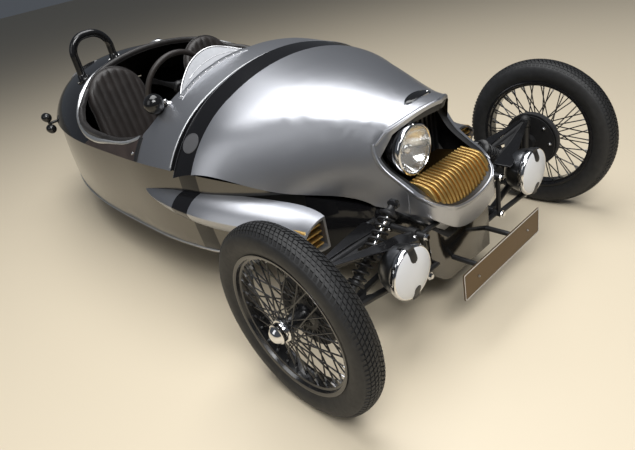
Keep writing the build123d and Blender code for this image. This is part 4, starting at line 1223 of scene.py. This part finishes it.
def mirror():
    """A round shell cut flat behind, its glass, and a stalk on the scuttle."""
    ball, forward = at(-522, 1020, 860), (0.1, -1, 0.02)
    turns = [math.pi * k / 24 for k in range(25)]
    profile = [(43 * math.cos(t), 43 * math.sin(t)) for t in turns if 43 * math.cos(t) > -25] + [(-25, 34.5)]
    shell = lathe(profile, ball, forward, 48)
    piece("mirror_shell", shell, "black_gloss", angle=60, stands_for=("mirror_pod",))
    glass = [(-25, 35), (-26.5, 35), (-28, 33), (-27, 32), (-25.8, 31.5), (-25.8, 0)]
    piece("mirror_glass", lathe(glass, ball, forward, 48), "mirror", angle=40)
    place, normal = drop(upper_skin, -468, 1004, 1100)
    normal = unit(normal)
    under = ball + unit((0.5, -0.1, -0.75)) * 0.040
    stalk = smooth_path([under, place + normal * 0.022, place + normal * 0.004], 6)
    foot = lathe([(-1, 17), (3, 17), (6, 13), (12, 8)], place, normal, 28)
    piece("mirror_stalk", join(tube(stalk, 6.5, 14), foot), "chrome", angle=40)


def tail_lamps():
    """Two round lamps on each side, one over the other, on a stalk from the hull."""
    bowl = [(-50, 0), (-49, 9), (-45, 18), (-38, 25.5), (-28, 29.5), (-4, 29.5), (-0.5, 28.4), (0, 26),
            (-1, 24.5), (-4, 24.5)]
    glass = [(-7, 24.4), (-4, 23), (-1.6, 17), (-0.4, 9), (0, 0)]
    glass_station, stalk_station, stalk_z, stalk_radius = 2658, 2630, 586, 8.8
    glasses, bowls, stalks = [], [], []
    for side in FRONT.values():
        lamp_x = side * 518
        for z in (624, 548):
            bowls.append(lathe(bowl, at(lamp_x, glass_station, z), BACKWARD, 40))
            glasses.append(lathe(glass, at(lamp_x, glass_station, z), BACKWARD, 36))
        root = beside(flank_skin, side, stalk_station, stalk_z)[0]
        middle = at(lamp_x, stalk_station, stalk_z)
        half = Vector((0, 0, 0.020))
        stalks.append(tube([at(side * 455, stalk_station, stalk_z), middle], stalk_radius, 16))
        stalks.append(tube([middle + half, middle - half], stalk_radius, 14))
        stalks.append(tube([root - Vector((side * 0.004, 0, 0)), at(side * 460, stalk_station, stalk_z)],
                           stalk_radius, 16))
        stalks.append(lathe([(-3, 19), (4, 19), (7, 15), (14, 10)], root, (side, 0, 0), 28))
    piece("tail_lamp_bodies", join(*bowls), "black_gloss", angle=40, stands_for=("tail_lamps",))
    piece("tail_lamp_lenses", join(*glasses), "red_lens", angle=60)
    piece("tail_lamp_stalks", join(*stalks), "black_satin", angle=50)


def plate():
    """The blank plate's pale border and its two screws."""
    front = at(0, -262, 225)
    rows = []
    for half_wide, half_high, r, lift in ((252, 47.5, 6, 0), (252, 47.5, 6, 1.2),
                                          (250, 45.5, 5, 1.2), (250, 45.5, 5, 0)):
        row = []
        for across, up, first in ((1, 1, 0), (-1, 1, 90), (-1, -1, 180), (1, -1, 270)):
            for a in (math.radians(first + 22.5 * k) for k in range(5)):
                row.append(front + Vector((across * half_wide + r * math.cos(a), -lift,
                                           up * half_high + r * math.sin(a))) / 1000)
        rows.append(row)
    piece("plate_border", loops(rows), "pale_line", angle=30)
    screws = [bolt(front + Vector((x, 0, 0)), (0, -1, 0), 6, 3.5) for x in (-0.17, 0.17)]
    piece("plate_screws", join(*screws), "steel")


hoop_feet()
mirror()
tail_lamps()
plate()


# Wind deflector: its flange, rivets, bead and fold
def front_station(x, z):
    """The station of the deflector's leaning front face: in plan a parabola through three places."""
    places = ((-455, 914), (-277, 899), (-28, 845))
    plan = 0.0
    for own, station in places:
        plan += station * math.prod((x - other) / (own - other) for other, _ in places if other != own)
    return plan + 0.75 * (z - 800)


def deflector_root(x):
    """Station and height where the deflector's front face stands on the scuttle."""
    z = 900.0
    for _ in range(8):
        place, _ = drop(upper_skin, x, front_station(x, z))
        if place is None:
            break
        z = place.z * 1000
    return front_station(x, z), z


def deflector_trim():
    """A flange with rivets along the foot, a bead on the free edge and a fold across the face."""
    first, last, steps = -436, -46, 30
    rows, rivets = [], []
    for k in range(steps + 1):
        x = first + (last - first) * k / steps
        root, z = deflector_root(x)
        row = []
        for back, lift in ((1.0, 9.0), (1.0, 2.2), (-20.0, 2.2), (-22.0, 0.2)):
            place, normal = drop(upper_skin, x, root + back)
            if place is None:
                place, normal = at(x, root + back, z), Vector((0, 0, 1))
            row.append(place + unit(normal) * (lift / 1000))
        rows.append(row)
        place, normal = drop(upper_skin, x, root - 11)
        if k % 3 == 1 and place is not None:
            rivets.append(lathe([(1.5, 4), (3.6, 3.4), (4.6, 1.8), (4.9, 0)], place, normal, 14))
    piece("deflector_flange", loops(rows, close_row=False), "deflector_silver", angle=30)
    piece("deflector_rivets", join(*rivets), "chrome", angle=60)
    knots = ((-447, 832), (-385, 902), (-281, 972), (-170, 996), (-56, 955))
    crest_path = smooth_path([Vector((x / 1000, 0, z / 1000)) for x, z in knots], 12)
    crest = [(p.x * 1000, p.z * 1000) for p in crest_path]
    bead = [at(x, front_station(x, z) + 3.5, z) for x, z in crest]
    piece("deflector_bead", tube(bead, 4.6, 10), "chrome", angle=60)
    fold = []
    for x, top in crest[4:-3]:
        _, root_z = deflector_root(x)
        z = root_z + 0.42 * (top - root_z)
        fold.append(at(x, front_station(x, z) - 0.4, z))
    piece("deflector_fold", tube(fold, 1.1, 6), "bright", angle=60)


deflector_trim()


# Mouth: a rounded rim on the bonnet's edge, bent fins over a dark sheet of painted shade, and the skirt
# under the lip
def arc_points(a, b, c, steps):
    """Points on the circle from a through b to c, in a plane."""
    (ax, ay), (bx, by), (cx, cy) = a, b, c
    d = 2 * (ax * (by - cy) + bx * (cy - ay) + cx * (ay - by))
    aa, bb, cc = ax * ax + ay * ay, bx * bx + by * by, cx * cx + cy * cy
    ux = (aa * (by - cy) + bb * (cy - ay) + cc * (ay - by)) / d
    uy = (aa * (cx - bx) + bb * (ax - cx) + cc * (bx - ax)) / d
    r = math.hypot(ax - ux, ay - uy)
    t0, t1, t2 = (math.atan2(y - uy, x - ux) for x, y in (a, b, c))
    sweep = (t2 - t0) % (2 * math.pi)
    if (t1 - t0) % (2 * math.pi) > sweep:
        sweep -= 2 * math.pi
    turns = (t0 + sweep * k / steps for k in range(steps + 1))
    return [(ux + r * math.cos(t), uy + r * math.sin(t)) for t in turns]


def mouth_contour():
    """Points and normals on the bonnet's skin round the mouth: brow, one side, lip and other side."""
    plan = arc_points((-222, 105), (-133.2, 25), (0, -42), 14)
    plan += arc_points((0, -42), (133.2, 25), (222, 105), 14)[1:]
    brow = [drop(bonnet_skin, 0.985 * x, s + 3) for x, s in plan]
    edge_line = arc_points((105, 703), (86, 630), (34, 576), 16)
    edge_line += [(34 - 134 * t, 576 - 82 * t) for t in (k / 16 for k in range(1, 17))]
    left, right = ([beside(bonnet_skin, side, s + 2, z - 3) for s, z in edge_line] for side in (1, -1))
    reach = abs([p for p, _ in left if p is not None][-1].x) * 1000 - 8
    lip_radius, lip_low = 342, 428
    lip = []
    for x in (reach - 2 * reach * k / 24 for k in range(25)):
        z = lip_low + lip_radius - math.sqrt(lip_radius ** 2 - x * x) - 3
        lip.append(bonnet_skin.ray_cast(at(x, -400, z), Vector((0, 1, 0)))[:2])
    return [(p, unit(n)) for p, n in brow + left + lip + right[::-1] if p is not None]


def evenly(contour, samples):
    """A closed contour's points and normals at even steps along it, and the step's length."""
    lengths = [0.0]
    for (p, _), (q, _) in zip(contour, contour[1:] + contour[:1]):
        lengths.append(lengths[-1] + (q - p).length)
    points, normals = [], []
    index = 0
    for want in (lengths[-1] * k / samples for k in range(samples)):
        while lengths[index + 1] < want:
            index += 1
        share = (want - lengths[index]) / max(1e-9, lengths[index + 1] - lengths[index])
        (p, n), (q, m) = contour[index], contour[(index + 1) % len(contour)]
        points.append(p.lerp(q, share))
        normals.append(unit(n.lerp(m, share)))
    return points, normals, lengths[-1] / samples


def rounded(values, spread):
    """A closed row of vectors, each the bell-weighted mean of its neighbours."""
    reach = int(3 * spread)
    weights = {k: math.exp(-0.5 * (k / spread) ** 2) for k in range(-reach, reach + 1)}
    total = sum(weights.values())
    return bell_mean(values, [(k, w / total) for k, w in weights.items()])


def mouth_rim():
    """Builds the rim and its dark return, and gives the rim's smoothed line."""
    samples = 220
    outer, facing, step = evenly(mouth_contour(), samples)
    soft = rounded(outer, 0.026 / step)
    even = [unit(n) for n in rounded(facing, 0.020 / step)]
    centre = at(0, -20, 590)
    frames = []
    for i, p in enumerate(soft):
        along = unit(soft[(i + 1) % len(soft)] - soft[i - 1])
        n = unit(even[i] - along * even[i].dot(along))
        away = unit(along.cross(n))
        frames.append((n, away if away.dot(p - centre) >= 0 else -away))
    feet = [bonnet_skin.find_nearest(p + away * 0.012)[0] for p, (_, away) in zip(outer, frames)]
    rim, inner = [], []
    for lip, foot, (n, away) in zip(soft, rounded(feet, 0.012 / step), frames):
        foot = bonnet_skin.find_nearest(foot)[0]
        at_foot = slab(foot, n, away, (-1.2, 0), (0.8, -1.0))
        over = slab(lip, n, away, (3.4, 3), (3.0, 0), (1.0, -2.4), (-4, -2.8), (-12, -1.4), (-12, 2))
        rim.append(at_foot + [(foot + lip) / 2 + n * 0.0022] + over + [foot - n * 0.004])
        inner.append(slab(lip, n, away, (-5, -2.2), (-10, -4.2), (-34, -4.2), (-34, -1.0), (-5, 0.5)))
    piece("mouth_return", loops(inner, close_all=True), "black_satin", angle=40)
    piece("mouth_rim", loops(rim, close_all=True), "silver_plain", angle=60)
    return soft


soft_rim = mouth_rim()
front_line = sorted((p.x * 1000, (p.y - AXLE_Y) * 1000, p.z * 1000) for p in soft_rim
                    if p.y < AXLE_Y - 0.04 and p.z < 0.55)


def lip_at(x):
    """Station and height of the mouth's front edge at x."""
    for (xa, sa, za), (xb, sb, zb) in zip(front_line, front_line[1:]):
        if xa <= x <= xb:
            t = (x - xa) / max(0.01, xb - xa)
            return sa + (sb - sa) * t, za + (zb - za) * t
    return front_line[-1][1:]


def fin_top(x):
    """The top edge of the fin at x: station and height pairs from the lip up to the lamp's front."""
    edge_station, edge_z = lip_at(x)
    start, low = max(-127.0, edge_station + 14), edge_z - 1
    rise, run = 530 - low, -50 - start
    knots = [(start + run * t, low + rise * h) for t, h in
             ((0, -0.03), (0.026, 0.12), (0.12, 0.36), (0.28, 0.64), (0.50, 0.87), (0.74, 0.97))]
    knots += [(-50, 531), (-22, 533.5), (4, 536)]
    path = smooth_path([Vector((0, s / 1000, z / 1000)) for s, z in knots], 5)
    return [(p.y * 1000, p.z * 1000) for p in path]


def mouth_fins():
    """Seventeen bent fins with rounded edges, and under them a dark brown sheet of painted shade for the
    shadow behind the fins.
    """
    count, pitch = 17, 20.2
    section = ((-6.2, 26), (-6.2, 2.0), (-5.6, 0.6), (-4.2, 0), (4.2, 0), (5.6, 0.6), (6.2, 2.0), (6.2, 26))
    fins = []
    for x in ((k - count // 2) * pitch for k in range(count)):
        top = fin_top(x)
        rows = []
        for i, (s, z) in enumerate(top):
            (s0, z0), (s1, z1) = top[max(i - 1, 0)], top[min(i + 1, len(top) - 1)]
            size = math.hypot(s1 - s0, z1 - z0)
            down_s, down_z = (z1 - z0) / size, (s0 - s1) / size
            rows.append([at(x + dx, s + down_s * down, z + down_z * down) for dx, down in section])
        fins.append(capped(rows))
    piece("mouth_fins", join(*fins), "brass", angle=38, stands_for=("nose_fins",))
    # Painted shade: a dark brown sheet under the fins, standing for the shadow behind them.
    shade_tray_half, steps = 176, 40
    shade_tray = []
    for x in (-shade_tray_half + 2 * shade_tray_half * i / steps for i in range(steps + 1)):
        line = [(s + 3, z - 20) for s, z in fin_top(x)[5:]] + [(60, 508), (128, 500)]
        shade_tray.append([at(x, s, z) for s, z in line] + [at(x, s + 2, z - 4) for s, z in reversed(line)])
    piece("mouth_shade_tray", capped(shade_tray), "brass_painted_shade", angle=50)


def chin_skirt():
    """A band just inside the hull's nose that closes it up to the bonnet's lower edge."""
    low, inset, thick, steps = 0.306, 0.016, 0.003, 60
    half_turn, overlap = 118, 16
    start = at(0, 10, 0)
    rows = []
    for a in (math.radians(half_turn * (2 * k / steps - 1)) for k in range(steps + 1)):
        ray = Vector((math.sin(a), -math.cos(a), 0))
        place, normal, _, _ = flank_skin.ray_cast(start + ray * 0.6 + Vector((0, 0, 0.300)), -ray)
        high = None
        for z in range(326, 520, 3):
            hit = bonnet_skin.ray_cast(start + ray * 0.6 + Vector((0, 0, z / 1000)), -ray)[0]
            gap = (hit - start).to_2d() if hit is not None else None
            if gap is not None and gap.length > 0.12 and gap.dot(ray.to_2d()) > 0:
                high = (z + overlap) / 1000
                break
        if place is None or high is None:
            continue
        flat = unit((normal.x, normal.y, 0))
        outer, inner = place - flat * inset, place - flat * (inset + thick)
        rows.append([Vector((p.x, p.y, z)) for p, z in
                     ((outer, low), (outer, high), (inner, high), (inner, low))])
    piece("chin_skirt", capped(rows), "silver_plain", angle=40)


def nose_oval():
    """A blank oval with a bright border, where the nose carries its badge."""
    half_wide, half_long, station = 64, 22, 58
    dome = ((0.02, 3.2), (0.5, 3.1), (0.93, 2.8), (1.0, 1.6), (1.01, -0.5))
    border = ((1.0, 0.4), (1.02, 3.4), (1.10, 3.4), (1.14, -0.4))
    for name, mat, angle, section in (("nose_oval", "black_gloss", 50, dome),
                                      ("nose_oval_border", "chrome", 40, border)):
        rows = []
        for share, lift in section:
            row = []
            for a in angles(36):
                place, normal = drop(bonnet_skin, half_wide * share * math.cos(a),
                                     station + half_long * share * math.sin(a))
                row.append(place + unit(normal) * (lift / 1000))
            rows.append(row)
        piece(name, loops(rows), mat, angle=angle)


mouth_fins()
chin_skirt()
nose_oval()


# Tail and underside
def tail_cap():
    """The round cap on the deck and the lever across it."""
    place, normal = drop(upper_skin, 205, 2250)
    cap = [(-1, 52), (4, 52), (7, 49), (8, 44), (8, 40), (11, 38), (15, 34), (16.5, 24), (17, 0)]
    piece("tail_cap", lathe(cap, place, normal, 56), "bright", angle=35)
    along = unit(normal.cross(Vector((1, 0, 0))))
    lever = slab(place, normal, along, (18, -30), (21, 0), (18, 30))
    piece("tail_cap_lever", tube(smooth_path(lever, 6), 4.5, 12), "chrome", angle=60)


def deck_louvres(name, side):
    """Seven raised vents across the deck."""
    count, first, pitch = 7, 2420, 34
    vents = []
    for station in (first + k * pitch for k in range(count)):
        rows = []
        for t in (j / 10 for j in range(11)):
            lift = 9.0 * math.sin(math.pi * t) ** 0.5
            row = []
            for ds, share in ((0, 0.0), (2, 1.0), (10, 0.82), (20, 0.3), (26, -0.1)):
                place, normal = drop(upper_skin, side * (150 + 130 * t), station + ds)
                row.append(place + unit(normal) * ((lift * share + 0.2) / 1000))
            rows.append(row)
        vents.append(loops(rows, close_row=False))
    piece(f"deck_louvres_{name}", join(*vents), "black_gloss", angle=50)


tail_cap()
for name, side in FRONT.items():
    deck_louvres(name, side)
screws = []
for station in range(700, 2000, 130):
    screws += [bolt(at(side * 250, station, 140.2), (0, 0, -1), 12, 3) for side in (1, -1)]
piece("tray_screws", join(*screws), "steel", angle=35)

# Stage, lights and camera
bpy.ops.mesh.primitive_plane_add(size=60, location=(0, 0, 0))
floor = bpy.context.object
floor.name = "floor"
floor.data.materials.append(material("ground", (0.70, 0.61, 0.46), 0, 0.45))

world = bpy.data.worlds.new("studio")
bpy.context.scene.world = world
world.use_nodes = True
world.node_tree.nodes["Background"].inputs["Color"].default_value = (0.80, 0.88, 1.0, 1)
world.node_tree.nodes["Background"].inputs["Strength"].default_value = 0.09


def area(name, place, target, size, power):
    """A rectangular lamp that looks at a target."""
    data = bpy.data.lights.new(name, "AREA")
    data.shape = "RECTANGLE"
    data.size, data.size_y = size
    data.energy = power
    lamp = bpy.data.objects.new(name, data)
    bpy.context.scene.collection.objects.link(lamp)
    lamp.location = place
    lamp.rotation_euler = (Vector(target) - Vector(place)).to_track_quat("-Z", "Y").to_euler()


area("key", (-1.8, -4.2, 5.0), (0, -0.6, 0.5), (3.2, 2.2), 250)
area("top", (0.4, -0.2, 5.6), (0, -0.4, 0.5), (3.8, 4.8), 275)
area("side", (-5.6, 0.2, 4.0), (0, 0, 0.6), (3, 4), 40)

CAMERA_PLACE = (-1.5114, AXLE_Y - 1.1453, 1.4049)
yaw, pitch, roll = (math.radians(angle) for angle in (-38.09, 28.95, -12.59))
ahead = Vector((-math.sin(yaw) * math.cos(pitch), math.cos(yaw) * math.cos(pitch), -math.sin(pitch)))
right = Vector((math.cos(yaw), math.sin(yaw), 0))
up = right.cross(ahead)
turned = math.cos(roll) * right + math.sin(roll) * up
upright = -math.sin(roll) * right + math.cos(roll) * up
camera_data = bpy.data.cameras.new("camera")
camera_data.sensor_width = 36
camera_data.lens = 30.97
camera = bpy.data.objects.new("camera", camera_data)
bpy.context.scene.collection.objects.link(camera)
camera_rows = [(turned[k], upright[k], -ahead[k], CAMERA_PLACE[k]) for k in range(3)]
camera.matrix_world = Matrix(camera_rows + [(0, 0, 0, 1)])
bpy.context.scene.camera = camera
bpy.context.scene.view_settings.view_transform = "Standard"
